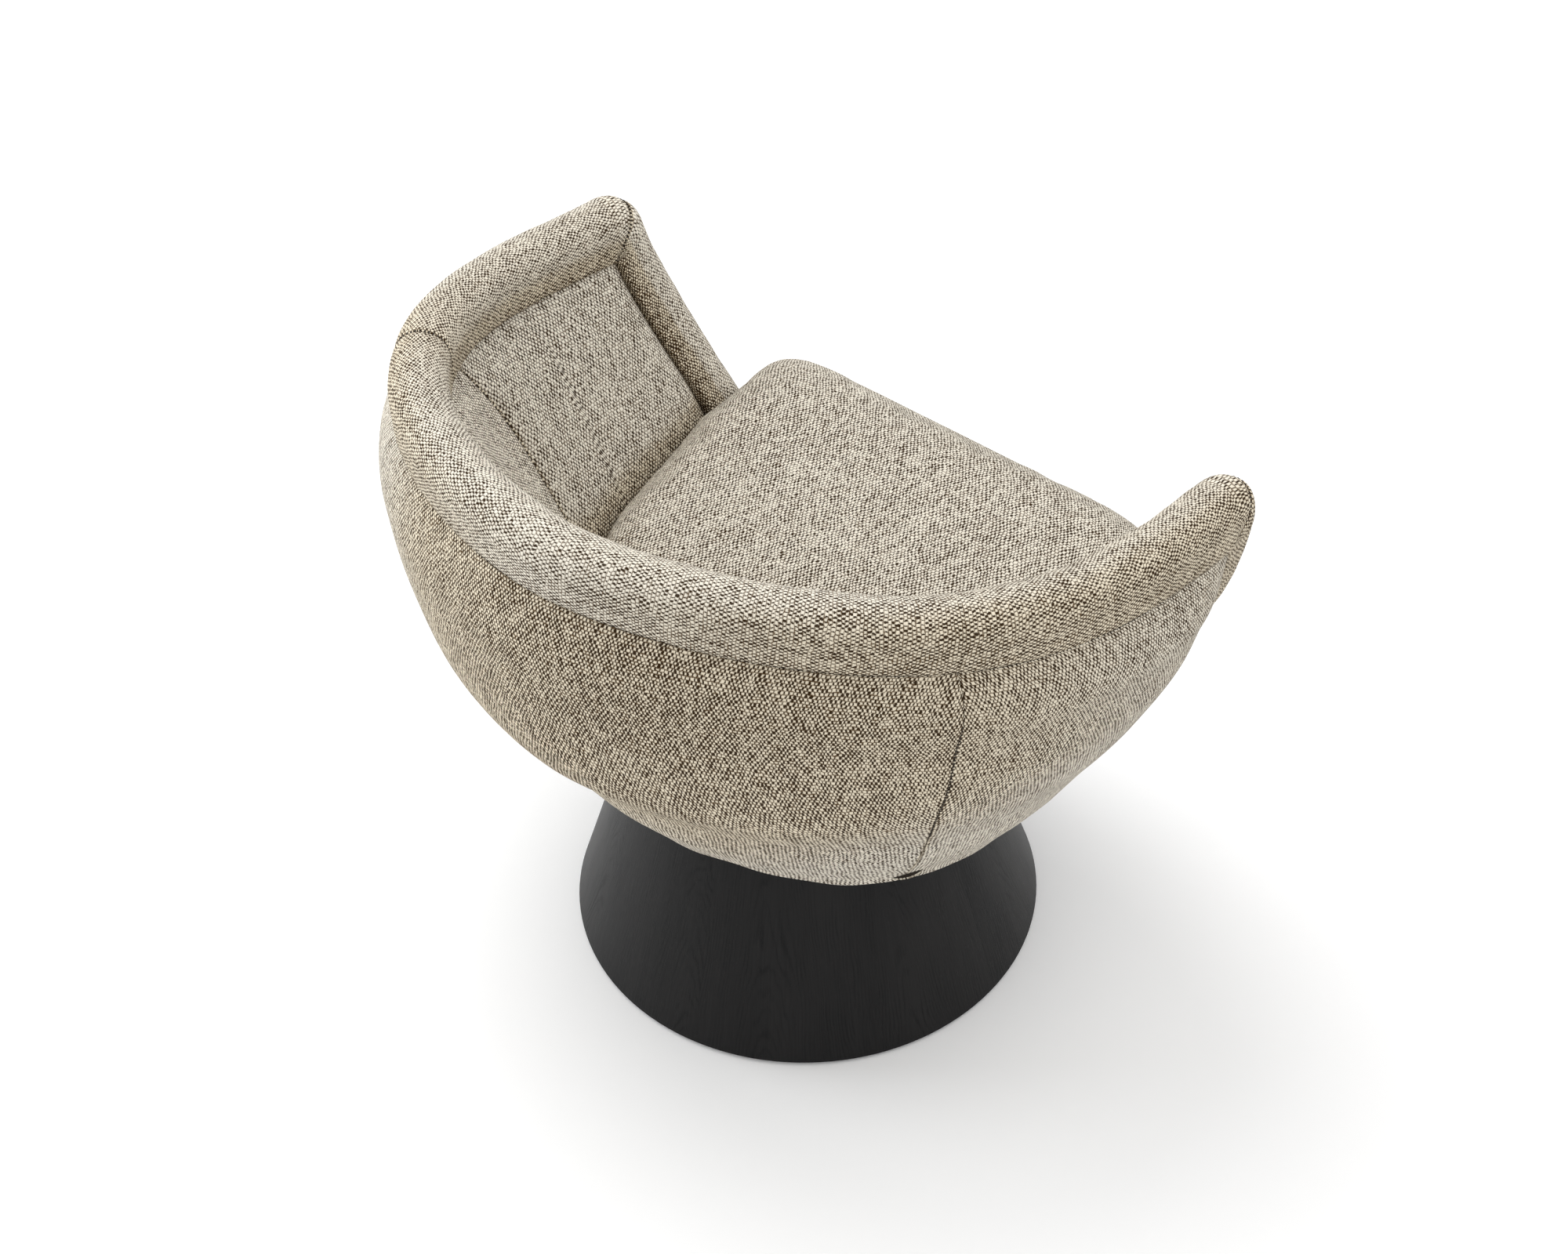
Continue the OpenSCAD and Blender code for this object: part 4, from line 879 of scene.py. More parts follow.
def inflate(piece, pinned, frames, pressure):
    """Presses a closed cover outwards with the cloth solver; pinned is one weight for each vertex."""
    group = piece.vertex_groups.new(name="pinned")
    for index in np.nonzero(pinned > 0)[0]:
        group.add([int(index)], float(pinned[index]), "REPLACE")
    modifier = piece.modifiers.new("cloth", "CLOTH")
    cloth = modifier.settings
    cloth.quality = 5
    cloth.mass = 0.4
    cloth.tension_stiffness = 25
    cloth.compression_stiffness = 25
    cloth.shear_stiffness = 12
    cloth.bending_stiffness = 1.5
    cloth.use_pressure = True
    cloth.uniform_pressure_force = pressure
    cloth.shrink_min = -0.012
    cloth.vertex_group_mass = "pinned"
    cloth.effector_weights.gravity = 0
    modifier.collision_settings.use_collision = False
    modifier.point_cache.frame_start = 1
    modifier.point_cache.frame_end = frames
    scene = bpy.context.scene
    for number in range(1, frames + 1):
        scene.frame_set(number)
    run_modifier(piece, modifier)
    scene.frame_set(1)


VOXEL = 0.006
CLOTH_FRAMES = 20
CLOTH_PRESSURE = 4.0
PINNED_UP_TO = 0.012
MOST_SINK = 0.001
MOST_RISE = 0.0075
remesh(cushion, VOXEL)
rest_points = mesh_points(cushion)
floor_z = SEAT_BASE_Z * MM
hold = np.clip(1 - (rest_points[:, 2] - floor_z) / PINNED_UP_TO, 0, 1)
inflate(cushion, hold, CLOTH_FRAMES, CLOTH_PRESSURE)
moved = mesh_points(cushion) - rest_points
level_move = np.linalg.norm(moved[:, :2], axis=1)
moved[:, :2] *= np.minimum(1, DRAW_IN * MM / np.maximum(level_move, 1e-9))[:, None]
moved[:, 2] = np.clip(moved[:, 2], -MOST_SINK, MOST_RISE)
set_points(cushion, rest_points + moved)
print("cushion swelled by up to", round(float(np.abs(moved).max()) * 1000, 1), "mm")

# %% [markdown]
# The solver leaves facets of one voxel, so one level of subdivision follows. The seam comes last,
# because a remesh would erase it: a fine valley round the side, where the top cover meets its band.
# The weave needs a map as well. It runs straight over the top and on down the front and sides.

# %% Finish the cushion
def subdivide(piece, levels):
    modifier = piece.modifiers.new("finer", "SUBSURF")
    modifier.levels = levels
    modifier.render_levels = levels
    run_modifier(piece, modifier)


subdivide(cushion, 1)
points = mesh_points(cushion)
normals = np.empty(len(points) * 3)
cushion.data.vertices.foreach_get("normal", normals)
normals = normals.reshape(-1, 3)
SEAT_SEAM_Z = 0.366
SEAT_SEAM_DEPTH = 0.0016
SEAT_SEAM_REACH = 0.0022
steep = np.clip(1 - np.abs(normals[:, 2]) * 1.4, 0, 1)
valley = SEAT_SEAM_DEPTH * groove(points[:, 2] - SEAT_SEAM_Z, SEAT_SEAM_REACH) * steep
soft = waves(points[:, 0] * 1000, points[:, 1] * 1000, 33, 150.0) * 0.0012
on_top = np.clip(normals[:, 2], 0, 1)[:, None] * np.clip((points[:, 2:3] - 0.40) / 0.02, 0, 1)
points = points - normals * valley[:, None] + Z_AXIS * (soft[:, None] * on_top)
points[:, 2] = np.maximum(points[:, 2], SEAT_BASE_Z * MM)
set_points(cushion, points)
layer = cushion.data.uv_layers.new(name="weave")
corner_vertex = np.empty(len(cushion.data.loops), np.int32)
cushion.data.loops.foreach_get("vertex_index", corner_vertex)
at_front = np.clip((-0.14 - points[:, 1]) / 0.08, 0, 1)
at_side = np.clip((np.abs(points[:, 0]) - 0.17) / 0.08, 0, 1)
at_side = at_side ** 2 * (3 - 2 * at_side)
fallen = SEAT_CROWN_Z * MM - points[:, 2]
weave_u = points[:, 0] + np.sign(points[:, 0]) * at_side * fallen
weave_v = points[:, 1] - at_front * fallen
weave_uv = np.stack([weave_u, weave_v], axis=-1) / SEAT_LOOPS
layer.data.foreach_set("uv", weave_uv[corner_vertex].astype(np.float32).ravel())
cushion.data.polygons.foreach_set("use_smooth", np.ones(len(cushion.data.polygons), bool))
set_open_and_painted_shading(cushion.data, np.full(len(points), 0.82))
print("cushion:", len(cushion.data.polygons), "faces")

# %% [markdown]
# ## A fold in the cloth
# At the foot of the right rear joint the end of the cloth is folded over and lies on the panel like
# a small lip. It stands off a little along its upper edge, so a dark slit shows above it. Lip and
# slit are thin grids on the bowl's own surface. The slit is a dark sheet of painted shade, as deep as
# the lip is lifted, for the shade of so narrow a pocket, where no light gets in.

# %% Seam fold
FOLD_W = 24.0
FOLD_H = 13.0
FOLD_OPEN = 3.8
FOLD_CLOTH = 2.0
FOLD_FOOT = 0.985


def fold_pieces(columns, rows):
    """The lip of cloth and a dark sheet of painted shade in the pocket behind it."""
    top = bowl_columns(np.array([-SEAM_U]))[0][0]
    two_columns = -SEAM_U + np.array([0.0, 0.1])
    here, there = bowl_surface(two_columns, np.array([1.0]), np.zeros((2, 1)))[:, 0, :]
    reach = 0.1 * FOLD_W / np.linalg.norm(there - here)
    t = np.linspace(0, 1, columns)[:, None]
    k = np.linspace(0, 1, rows)[None, :]
    # The upper edge slants down from the joint
    height = FOLD_H * (1 - 0.88 * t ** 0.9)
    v = FOLD_FOOT - height * (1 - k) / (top[2] - BOWL_BOTTOM_Z)
    pocket = FOLD_OPEN * np.sin(math.pi * np.clip(t, 0.03, 0.97)) ** 0.6 * (1 - k)
    place = -SEAM_U + reach * (t[:, 0] - 0.45)
    grids = []
    for lift in (0.3 + 0 * pocket, 0.5 + pocket, 0.5 + pocket + FOLD_CLOTH):
        grids.append(np.array([bowl_surface(place[i : i + 1], v[i], -lift[i][None, :])[0]
                               for i in range(columns)]))
    open_and_painted_shading = np.full((columns, rows), 0.35)
    lip = sewn_panel("seam_fold_cloth", grids[2], grids[1], 1, 51, open_and_painted_shading)
    # Painted shade: a dark sheet fills the pocket behind the lip.
    slit = sewn_panel("seam_fold_painted_shade", grids[1], grids[0], 1, 52, open_and_painted_shading)
    return lip, slit


fold, fold_painted_shade = fold_pieces(21, 12)
print("fold:", len(fold.data.polygons), "faces")

# %% [markdown]
# ## Cloth nobody sees
# A deck pad of needled felt lies on the springs, and a thin black cover closes the underside. Both
# are soft, so both are remade. The pad is evened out by a remesh and a smoothing. The cover is a
# stretched sheet that hangs a little between its staples.

# %% Deck pad
def merged_copy(name, node):
    """A copy of a CAD mesh whose loose triangles are joined up again."""
    mesh = nodes[node].data.copy()
    mesh.name = name
    work = bmesh.new()
    work.from_mesh(mesh)
    bmesh.ops.remove_doubles(work, verts=work.verts, dist=0.00001)
    work.to_mesh(mesh)
    work.free()
    return new_object(name, mesh)


deck_pad = merged_copy("deck_pad_felt", "deck_pad")
remesh(deck_pad, 0.004)
rounding = deck_pad.modifiers.new("rounding", "SMOOTH")
rounding.iterations = 4
run_modifier(deck_pad, rounding)
print("deck pad:", len(deck_pad.data.polygons), "faces")

# %% Dust cover
COVER_Z = BOWL_BOTTOM_Z - 2
COVER_T = 0.7
COVER_HOLE = 131.0
COVER_IN = PANEL_T + 1.5


def cover_outline(count):
    """The bowl's outline at its underside, drawn in a little, from the back round the left side."""
    share = np.array([1.0])
    side = bowl_surface(np.linspace(0, 1.97, count), share, np.full((count, 1), COVER_IN))[:, 0, :]
    last = side[-1]
    middle_y = -ROLL_FOOT_Y + COVER_IN
    front = []
    for t in np.linspace(0, 1, count // 3)[1:]:
        ease = 1 - (1 - t) ** 2
        front.append([last[0] * (1 - t), last[1] + (middle_y - last[1]) * ease, BOWL_BOTTOM_Z])
    half = np.concatenate([side, front])
    return np.concatenate([half, half[-2:0:-1] * np.array([-1, 1, 1])])


outline = cover_outline(60)
outline_angle = np.arctan2(outline[:, 1], outline[:, 0])


def cover_piece(rings):
    hole = np.stack([np.cos(outline_angle), np.sin(outline_angle)], axis=-1) * COVER_HOLE
    share = np.linspace(0, 1, rings)[:, None, None]
    plan = hole[None] * (1 - share) + outline[None, :, :2] * share
    sag = np.sin(math.pi * share[..., 0]) * (0.6 + 0.3 * waves(plan[..., 0], plan[..., 1], 41, 60.0))
    under = np.concatenate([plan, (COVER_Z - sag)[..., None]], axis=-1)
    over = under + Z_AXIS * COVER_T
    n = len(outline)
    k = rings * n
    faces = grid_faces(rings, n, close=True, turned=True)
    faces += grid_faces(rings, n, start=k, close=True)
    faces += [(j, (j + 1) % n, k + (j + 1) % n, k + j) for j in range(n)]
    faces += [((rings - 1) * n + (j + 1) % n, (rings - 1) * n + j, k + (rings - 1) * n + j,
               k + (rings - 1) * n + (j + 1) % n) for j in range(n)]
    points = np.concatenate([under.reshape(-1, 3), over.reshape(-1, 3)])
    return make_piece("dust_cover_cloth", points, faces, points[:, :2])


dust_cover = cover_piece(12)
edge_step = np.roll(outline[:, :2], -1, axis=0)
cover_area = 0.5 * abs(float(np.sum(outline[:, 0] * edge_step[:, 1] - edge_step[:, 0] * outline[:, 1])))
cover_area = (cover_area - math.pi * COVER_HOLE ** 2) * MM * MM

# %% [markdown]
# ## Finishes
# Every finish is procedural. Arithmetic on shader values reads badly as a list of nodes, so a small
# class wraps one socket and turns Python's operators into Math nodes. Its one method for any other
# kind of node sets the node's options first and then fills or links its inputs.

# %% Shader arithmetic
class Wire:
    """One output in a shader tree."""

    def __init__(self, tree, socket=None):
        self.tree = tree
        self.socket = socket

    def node(self, kind, settings=None, inputs=None, out=0):
        """Adds a node. Stops of a colour ramp are a setting: a list of (place, colour)."""
        made = self.tree.nodes.new(kind)
        for key, value in (settings or {}).items():
            if key == "stops":
                elements = made.color_ramp.elements
                while len(elements) < len(value):
                    elements.new(1.0)
                for element, (place, colour) in zip(elements, value):
                    element.position = place
                    element.color = colour
            else:
                setattr(made, key, value)
        for key, value in (inputs or {}).items():
            if isinstance(value, Wire):
                self.tree.links.new(value.socket, made.inputs[key])
            else:
                made.inputs[key].default_value = value
        return Wire(self.tree, made.outputs[out])

    def maths(self, operation, *values):
        return self.node("ShaderNodeMath", {"operation": operation}, dict(enumerate(values)))

    def vector_maths(self, operation, *values):
        return self.node("ShaderNodeVectorMath", {"operation": operation}, dict(enumerate(values)))

    def __add__(self, other):
        return self.maths("ADD", self, other)

    def __sub__(self, other):
        return self.maths("SUBTRACT", self, other)

    def __rsub__(self, other):
        return self.maths("SUBTRACT", other, self)

    def __mul__(self, other):
        return self.maths("MULTIPLY", self, other)

    def __truediv__(self, other):
        return self.maths("DIVIDE", self, other)

    def __pow__(self, other):
        return self.maths("POWER", self, other)

    __radd__ = __add__
    __rmul__ = __mul__

    def whole(self):
        return self.maths("FLOOR", self)

    def size(self):
        return self.maths("ABSOLUTE", self)

    def between(self, low, high):
        """0 below low, 1 above high and smooth between them."""
        return self.node("ShaderNodeMapRange", {"interpolation_type": "SMOOTHSTEP"},
                         {"Value": self, "From Min": low, "From Max": high})

    def split(self):
        parts = self.node("ShaderNodeSeparateXYZ", None, {0: self}).socket.node
        return [Wire(self.tree, output) for output in parts.outputs]


def colour(red, green, blue):
    """A colour as it is seen on screen, from 0 to 255, as the linear value that a shader wants."""
    linear = [v / 12.92 if v <= 0.04045 else ((v + 0.055) / 1.055) ** 2.4
              for v in (red / 255, green / 255, blue / 255)]
    return (*linear, 1.0)


def mixed(factor, first, second):
    return factor.node("ShaderNodeMix", {"data_type": "RGBA"}, {0: factor, 6: first, 7: second}, out=2)


def new_finish(name):
    """A material, its shader and a wire to start drawing from."""
    material = bpy.data.materials.new(name)
    material.use_nodes = True
    shader = material.node_tree.nodes["Principled BSDF"]
    return material, shader, Wire(material.node_tree)


def feed(shader, **inputs):
    """Sets or links the shader's inputs; an underscore stands for a space."""
    for key, value in inputs.items():
        socket = shader.inputs[key.replace("_", " ")]
        if isinstance(value, Wire):
            value.tree.links.new(value.socket, socket)
        else:
            socket.default_value = value


def bump(height, distance, strength=1.0):
    return height.node("ShaderNodeBump", None,
                       {"Height": height, "Distance": distance, "Strength": strength})


def joined(start, x=0.0, y=0.0, z=0.0):
    """One place from its three parts."""
    return start.node("ShaderNodeCombineXYZ", None, {0: x, 1: y, 2: z})


def object_place(start):
    return start.node("ShaderNodeTexCoord", None, None, out="Object")


def chance_at(ident, dimensions):
    """A random value from 0 to 1 that stays the same for one counted place."""
    return ident.node("ShaderNodeTexWhiteNoise", {"noise_dimensions": dimensions}, {"Vector": ident})


def noise(start, place, scale, detail=2.0, roughness=0.5, dimensions="3D", out="Fac"):
    return start.node("ShaderNodeTexNoise", {"noise_dimensions": dimensions},
                      {"Vector": place, "Scale": scale, "Detail": detail, "Roughness": roughness}, out)


# %% [markdown]
# ## Woven cloth
# The cover is a thick cream weave with dark brown flecks. Seen close, it is rows of plump loops, laid
# like bricks, and the dark ground yarn shows in the small gaps between them. A noise picture would
# not give the rows. So the finish counts rows and loops on the weave map, gives each loop its own
# tone, paints shade towards each loop's edges as if it were a dome, and darkens the gaps, each to
# another size. How far they stand open is said by each piece's open attribute and varied by long
# soft streaks. The open attribute paints light and shade as well: where it is high, the loops are
# painted darker, browner and warmer and the gaps wider, as shade; where it is low, they are painted
# pale, as light. Slow noise bends the rows a little.

# %% Woven cloth
LOOP_W = 0.0037
LOOP_H = 0.0030
LOOP_LIGHT = colour(242, 235, 220)
# The brown of the yarn's darker tones, which also paints the shade towards each loop's edges
LOOP_DEEP_TONE_AND_SHADE = colour(86, 63, 33)
# A warmer loop colour that paints shade where the open value is high
LOOP_WARM_PAINTED_SHADE = colour(241, 229, 205)
GROUND_YARN = colour(48, 31, 9)


def loop_gap(column, row, row_number, open_and_painted_shading, fibre, streak):
    """Dark ground yarn in the gap between two loops of one row, of another size at every gap. The gaps
    grow where the open value paints shade.
    """
    gap_number = (column + 0.5).whole()
    chance = chance_at(joined(row, gap_number, row_number, 7.0), "3D")
    across = (column - gap_number) * (LOOP_W * 1000)
    along = (row - row_number - 0.5) * (LOOP_H * 1000)
    distance = (across * across * 1.8 + along * along) ** 0.5 + (fibre - 0.5) * 0.9
    radius = (0.60 + 1.10 * chance) * (0.35 + 0.50 * open_and_painted_shading + 0.50 * streak)
    return 1 - distance.between(radius * 0.7, radius)


def woven_cloth():
    material, shader, start = new_finish("woven_cloth")
    place = start.node("ShaderNodeUVMap", {"uv_map": "weave"})
    open_and_painted_shading = start.node("ShaderNodeAttribute", {"attribute_name": "open"}, None, out="Fac")
    bend = noise(start, place, 55.0, 2.0, dimensions="2D", out="Color")
    bent = start.vector_maths("MULTIPLY_ADD", bend, (0.0042, 0.0042, 0.0), place)
    jitter = noise(start, place, 330.0, 1.0, dimensions="2D", out="Color")
    bent = start.vector_maths("MULTIPLY_ADD", jitter, (0.0018, 0.0015, 0.0), bent)
    u, v, _ = bent.split()
    row = v / LOOP_H
    row_number = row.whole()
    column = u / LOOP_W + row_number * 0.5
    column_number = column.whole()
    tone = chance_at(joined(start, column_number, row_number), "2D")
    dx = (column - column_number - 0.5).size() * 2
    dy = (row - row_number - 0.5).size() * 2
    # Painted shade: each loop darkens towards its edges, more where the open value is high; the same
    # dome also gives the bump.
    deep = 0.45 + 0.5 * open_and_painted_shading
    dome = (1 - deep * dx ** 2.2) * (1 - deep * dy ** 2.2)
    fibre = noise(start, place, 1500.0, 2.0, dimensions="2D")
    long_place = start.vector_maths("MULTIPLY", place, (1.0, 0.1, 1.0))
    streak = noise(start, long_place, 170.0, 2.0, dimensions="2D")
    gap = loop_gap(column, row, row_number, open_and_painted_shading, fibre, streak)
    slow = noise(start, place, 9.0, 2.0, dimensions="2D")
    # The yarn's lightness: the loop's painted edge shade, its own tone, fibres and slow noise, made
    # darker where the open value paints shade.
    light = dome * 0.85 + tone * 0.30 + fibre * 0.20 + slow * 0.10
    light = light - streak * 0.25 + 0.05 - 0.14 * open_and_painted_shading
    # Painted shade: loops turn warmer where the open value is high.
    pale = mixed(open_and_painted_shading.between(0.8, 1.0), LOOP_LIGHT, LOOP_WARM_PAINTED_SHADE)
    yarn = mixed(light.between(0.0, 0.9), LOOP_DEEP_TONE_AND_SHADE, pale)
    feed(shader, Base_Color=mixed(gap * 0.95, yarn, GROUND_YARN),
         Roughness=0.9 - dome * 0.12,
         Normal=bump(dome * 0.8 + fibre * 0.2 - gap * 0.6, 0.0010, 0.8),
         Sheen_Weight=0.03, Sheen_Roughness=0.45, Specular_IOR_Level=0.04)
    return material


cloth = woven_cloth()
print("woven cloth:", len(cloth.node_tree.nodes), "nodes")

# %% [markdown]
# ## Black oak
# The cone is veneered with oak, stained nearly black under a satin lacquer. Veneer comes in leaves
# from one log, laid side by side, so the figure changes at every joint. A leaf is a flat cut through
# growth rings, and that is how the figure is made: the distance to a tilted pith gives straight grain
# at a leaf's sides and arches in its middle. Fine open pores run upwards in the early wood.

# %% Black oak
LEAF_COUNT = 9
CONE_R = 0.205
RING_PITCH = 0.0030


def black_oak():
    material, shader, start = new_finish("black_oak")
    place = object_place(start)
    x, y, z = place.split()
    angle = start.maths("ARCTAN2", y + FOOTPRINT_Y * MM, x)
    leaf = (angle / (2 * math.pi) + 0.5) * LEAF_COUNT
    leaf_number = leaf.whole()
    chance = chance_at(joined(start, leaf_number, 3.0), "2D")
    arc = 2 * math.pi * CONE_R / LEAF_COUNT
    # The pith lies behind the leaf or beside it, so some leaves show arches and others straight grain
    across = (leaf - leaf_number - 1.3 * chance + 0.15) * arc
    local = joined(start, across * 9.0, z * 2.0, leaf_number * 4.0)
    sway = noise(start, local, 3.0, 3.0)
    depth = 0.010 + z * (0.06 + 0.10 * chance)
    pith = (across * across + depth * depth) ** 0.5 + (sway - 0.5) * 0.022
    ring = start.maths("SINE", pith * (2 * math.pi / RING_PITCH))
    faint = noise(start, local, 6.0, 2.0).between(0.35, 0.7)
    early = (ring * 0.5 + 0.5) ** 3.0 * faint
    grain_place = joined(start, across * 620.0 + sway * 9.0, z * 12.0, leaf_number)
    grain = noise(start, grain_place, 1.0, 3.0, 0.6)
    pore_place = joined(start, across * 1700.0 + sway * 20.0, z * 60.0, leaf_number * 5.0)
    pores = noise(start, pore_place, 1.0, 1.0).between(0.60, 0.70) * (0.3 + 0.7 * early)
    cloud = noise(start, local, 1.4, 2.0)
    tone = grain * 0.30 + cloud * 0.55 + early * 0.16 + chance * 0.22
    stain = mixed(tone.between(0.30, 0.80), colour(28, 27, 27), colour(6, 6, 7))
    stain = mixed(pores * 0.8, stain, colour(6, 6, 7))
    feed(shader, Base_Color=stain, Roughness=0.42 + grain * 0.10 + early * 0.08,
         Normal=bump(1 - pores - grain * 0.30 - early * 0.20, 0.00022, 0.7),
         Specular_IOR_Level=0.17, Sheen_Weight=0.09, Sheen_Roughness=0.35)
    return material


oak = black_oak()
print("black oak:", len(oak.node_tree.nodes), "nodes")

# %% [markdown]
# ## Frame, hardware and felt
# These are seen only when the chair is turned over or taken apart. Birch plywood is pale with fine
# grain and thin dark glue lines between its layers. The swivel, springs and screws are zinc
# plated: bright, faintly blotched and brushed. Glides and pads are felt, a mat of short fibres.

# %% Other finishes
PLY_LAYER = 0.0030


def plywood():
    material, shader, start = new_finish("birch_plywood")
    place = object_place(start)
    x, y, z = place.split()
    stretched = joined(start, x * 26.0, y * 300.0, z * 260.0)
    grain = noise(start, stretched, 1.0, 3.0, 0.6)
    layer = start.maths("FRACT", z / PLY_LAYER)
    glue = 1 - (layer - 0.5).size().between(0.02, 0.07)
    wood = mixed(grain.between(0.3, 0.7), colour(222, 196, 152), colour(189, 156, 108))
    feed(shader, Base_Color=mixed(glue * 0.3, wood, colour(120, 88, 56)),
         Roughness=0.6 + grain * 0.15, Normal=bump(grain - glue * 0.4, 0.0002, 0.5))
    return material


def zinc_steel():
    material, shader, start = new_finish("zinc_steel")
    place = object_place(start)
    blotch = noise(start, place, 60.0, 3.0)
    scratch = noise(start, place, 900.0, 2.0)
    tone = mixed(blotch.between(0.3, 0.7), colour(172, 174, 178), colour(205, 206, 204))
    feed(shader, Base_Color=tone, Metallic=1.0, Roughness=0.28 + blotch * 0.18,
         Normal=bump(scratch, 0.00005, 0.4))
    return material


def pale_nylon():
    material, shader, start = new_finish("pale_nylon")
    place = object_place(start)
    cloud = noise(start, place, 240.0, 2.0)
    tone = mixed(cloud.between(0.3, 0.7), colour(214, 212, 204), colour(230, 229, 222))
    feed(shader, Base_Color=tone, Roughness=0.42 + cloud * 0.1, Normal=bump(cloud, 0.00005, 0.3))
    return material


def black_felt():
    material, shader, start = new_finish("black_felt")
    place = object_place(start)
    fibre = noise(start, place, 900.0, 4.0, 0.7)
    clump = noise(start, place, 130.0, 2.0)
    tone = (fibre * 0.7 + clump * 0.3).between(0.35, 0.65)
    feed(shader, Base_Color=mixed(tone, colour(36, 36, 38), colour(74, 74, 77)), Roughness=0.95,
         Normal=bump(fibre, 0.0004, 0.8), Sheen_Weight=0.15)
    return material


def sewing_thread():
    material, shader, start = new_finish("sewing_thread")
    place = object_place(start)
    twist = noise(start, place, 2600.0, 1.0)
    feed(shader, Base_Color=mixed(twist.between(0.3, 0.7), colour(26, 19, 13), colour(52, 42, 30)),
         Roughness=0.75, Normal=bump(twist, 0.0001, 0.6))
    return material


ply, steel, nylon, felt, thread = plywood(), zinc_steel(), pale_nylon(), black_felt(), sewing_thread()
print("finishes:", [m.name for m in (ply, steel, nylon, felt, thread)])

# %% [markdown]
# ## Stitches and staples
# Where two lengths of cover meet, a strong dark thread laces the edges together, and from a step
# away the joint reads as a dotted dark line. Hundreds of equal stitches along a path are a job for
# Geometry Nodes. A path carries two directions at each point: where the cloth faces and where
# a stitch lies. The tree spaces the points, bends one short thread and lays it at each of them, with a
# little unevenness from a fixed seed. The same tree lays the staples of the dust cover.

# %% Row of threads
def bent_thread(start, inputs):
    """One short thread that bows up in its middle."""
    half = inputs["Length"] * 0.5
    low = inputs["Bow"] * -1.0
    first = joined(start, x=half * -1.0, z=low)
    middle = joined(start, z=inputs["Bow"])
    last = joined(start, x=half, z=low)
    arch = start.node("GeometryNodeCurveQuadraticBezier", None,
                      {"Resolution": 5, "Start": first, "Middle": middle, "End": last})
    round_wire = start.node("GeometryNodeCurvePrimitiveCircle", None,
                            {"Resolution": inputs["Sides"], "Radius": inputs["Thickness"] * 0.5})
    return start.node("GeometryNodeCurveToMesh", None,
                      {"Curve": arch, "Profile Curve": round_wire, "Fill Caps": True})


def thread_tree():
    tree = bpy.data.node_groups.new("thread_row", "GeometryNodeTree")
    face = tree.interface
    face.new_socket("Path", in_out="INPUT", socket_type="NodeSocketGeometry")
    for label in ("Spacing", "Length", "Thickness", "Bow", "Unevenness"):
        face.new_socket(label, in_out="INPUT", socket_type="NodeSocketFloat")
    face.new_socket("Sides", in_out="INPUT", socket_type="NodeSocketInt")
    face.new_socket("Finish", in_out="INPUT", socket_type="NodeSocketMaterial")
    face.new_socket("Threads", in_out="OUTPUT", socket_type="NodeSocketGeometry")
    start = Wire(tree)
    given = tree.nodes.new("NodeGroupInput")
    inputs = {output.name: Wire(tree, output) for output in given.outputs if output.name}
    one = bent_thread(start, inputs)
    curve = start.node("GeometryNodeMeshToCurve", None, {"Mesh": inputs["Path"]})
    points = start.node("GeometryNodeCurveToPoints", {"mode": "LENGTH"},
                        {"Curve": curve, "Length": inputs["Spacing"]})
    facing, heading = (start.node("GeometryNodeInputNamedAttribute", {"data_type": "FLOAT_VECTOR"},
                                  {"Name": label}) for label in ("facing", "heading"))
    chance = start.node("FunctionNodeRandomValue", {"data_type": "FLOAT_VECTOR"},
                        {0: (-1.0, -1.0, -1.0), 1: (1.0, 1.0, 1.0), "Seed": 5})
    uneven = start.node("ShaderNodeVectorMath", {"operation": "SCALE"},
                        {0: chance, "Scale": inputs["Unevenness"]})
    askew = start.vector_maths("ADD", heading, uneven)
    upright = start.node("FunctionNodeAlignRotationToVector", {"axis": "Z"}, {"Vector": facing})
    turned = start.node("FunctionNodeAlignRotationToVector", {"axis": "X", "pivot_axis": "Z"},
                        {"Rotation": upright, "Vector": askew})
    laid = start.node("GeometryNodeInstanceOnPoints", None,
                      {"Points": points, "Instance": one, "Rotation": turned})
    real = start.node("GeometryNodeRealizeInstances", None, {"Geometry": laid})
    done = start.node("GeometryNodeSetMaterial", None, {"Geometry": real, "Material": inputs["Finish"]})
    result = tree.nodes.new("NodeGroupOutput")
    tree.links.new(done.socket, result.inputs[0])
    return tree


def path_mesh(name, paths):
    """A mesh of open lines. Each path is (places, facing, heading), in millimetres."""
    places = np.concatenate([p for p, _, _ in paths])
    edges = []
    start = 0
    for p, _, _ in paths:
        edges += [(start + i, start + i + 1) for i in range(len(p) - 1)]
        start += len(p)
    mesh = bpy.data.meshes.new(name)
    mesh.from_pydata(to_model(places).tolist(), edges, [])
    for label, k in (("facing", 1), ("heading", 2)):
        values = unit(np.concatenate([path[k] for path in paths]))
        layer = mesh.attributes.new(label, "FLOAT_VECTOR", "POINT")
        layer.data.foreach_set("vector", values.astype(np.float32).ravel())
    return new_object(name, mesh)


THREAD_TREE = thread_tree()


def lay_threads(name, paths, **sizes):
    piece = path_mesh(name, paths)
    modifier = piece.modifiers.new("threads", "NODES")
    modifier.node_group = THREAD_TREE
    sockets = THREAD_TREE.interface.items_tree
    keys = {item.name: item.identifier for item in sockets if item.in_out == "INPUT"}
    for label, value in sizes.items():
        modifier[keys[label]] = value
    run_modifier(piece, modifier)
    return piece


# %% [markdown]
# The paths lie in the valleys of the joints: two up the outside of the bowl, two inside it, one over
# the roll above the left outer joint, and one over each mitred arm tip.

# %% Stitched joints
def across_path(places, facing):
    """The direction across a line of places on a surface."""
    along = np.gradient(places, axis=0)
    return np.cross(along, facing)


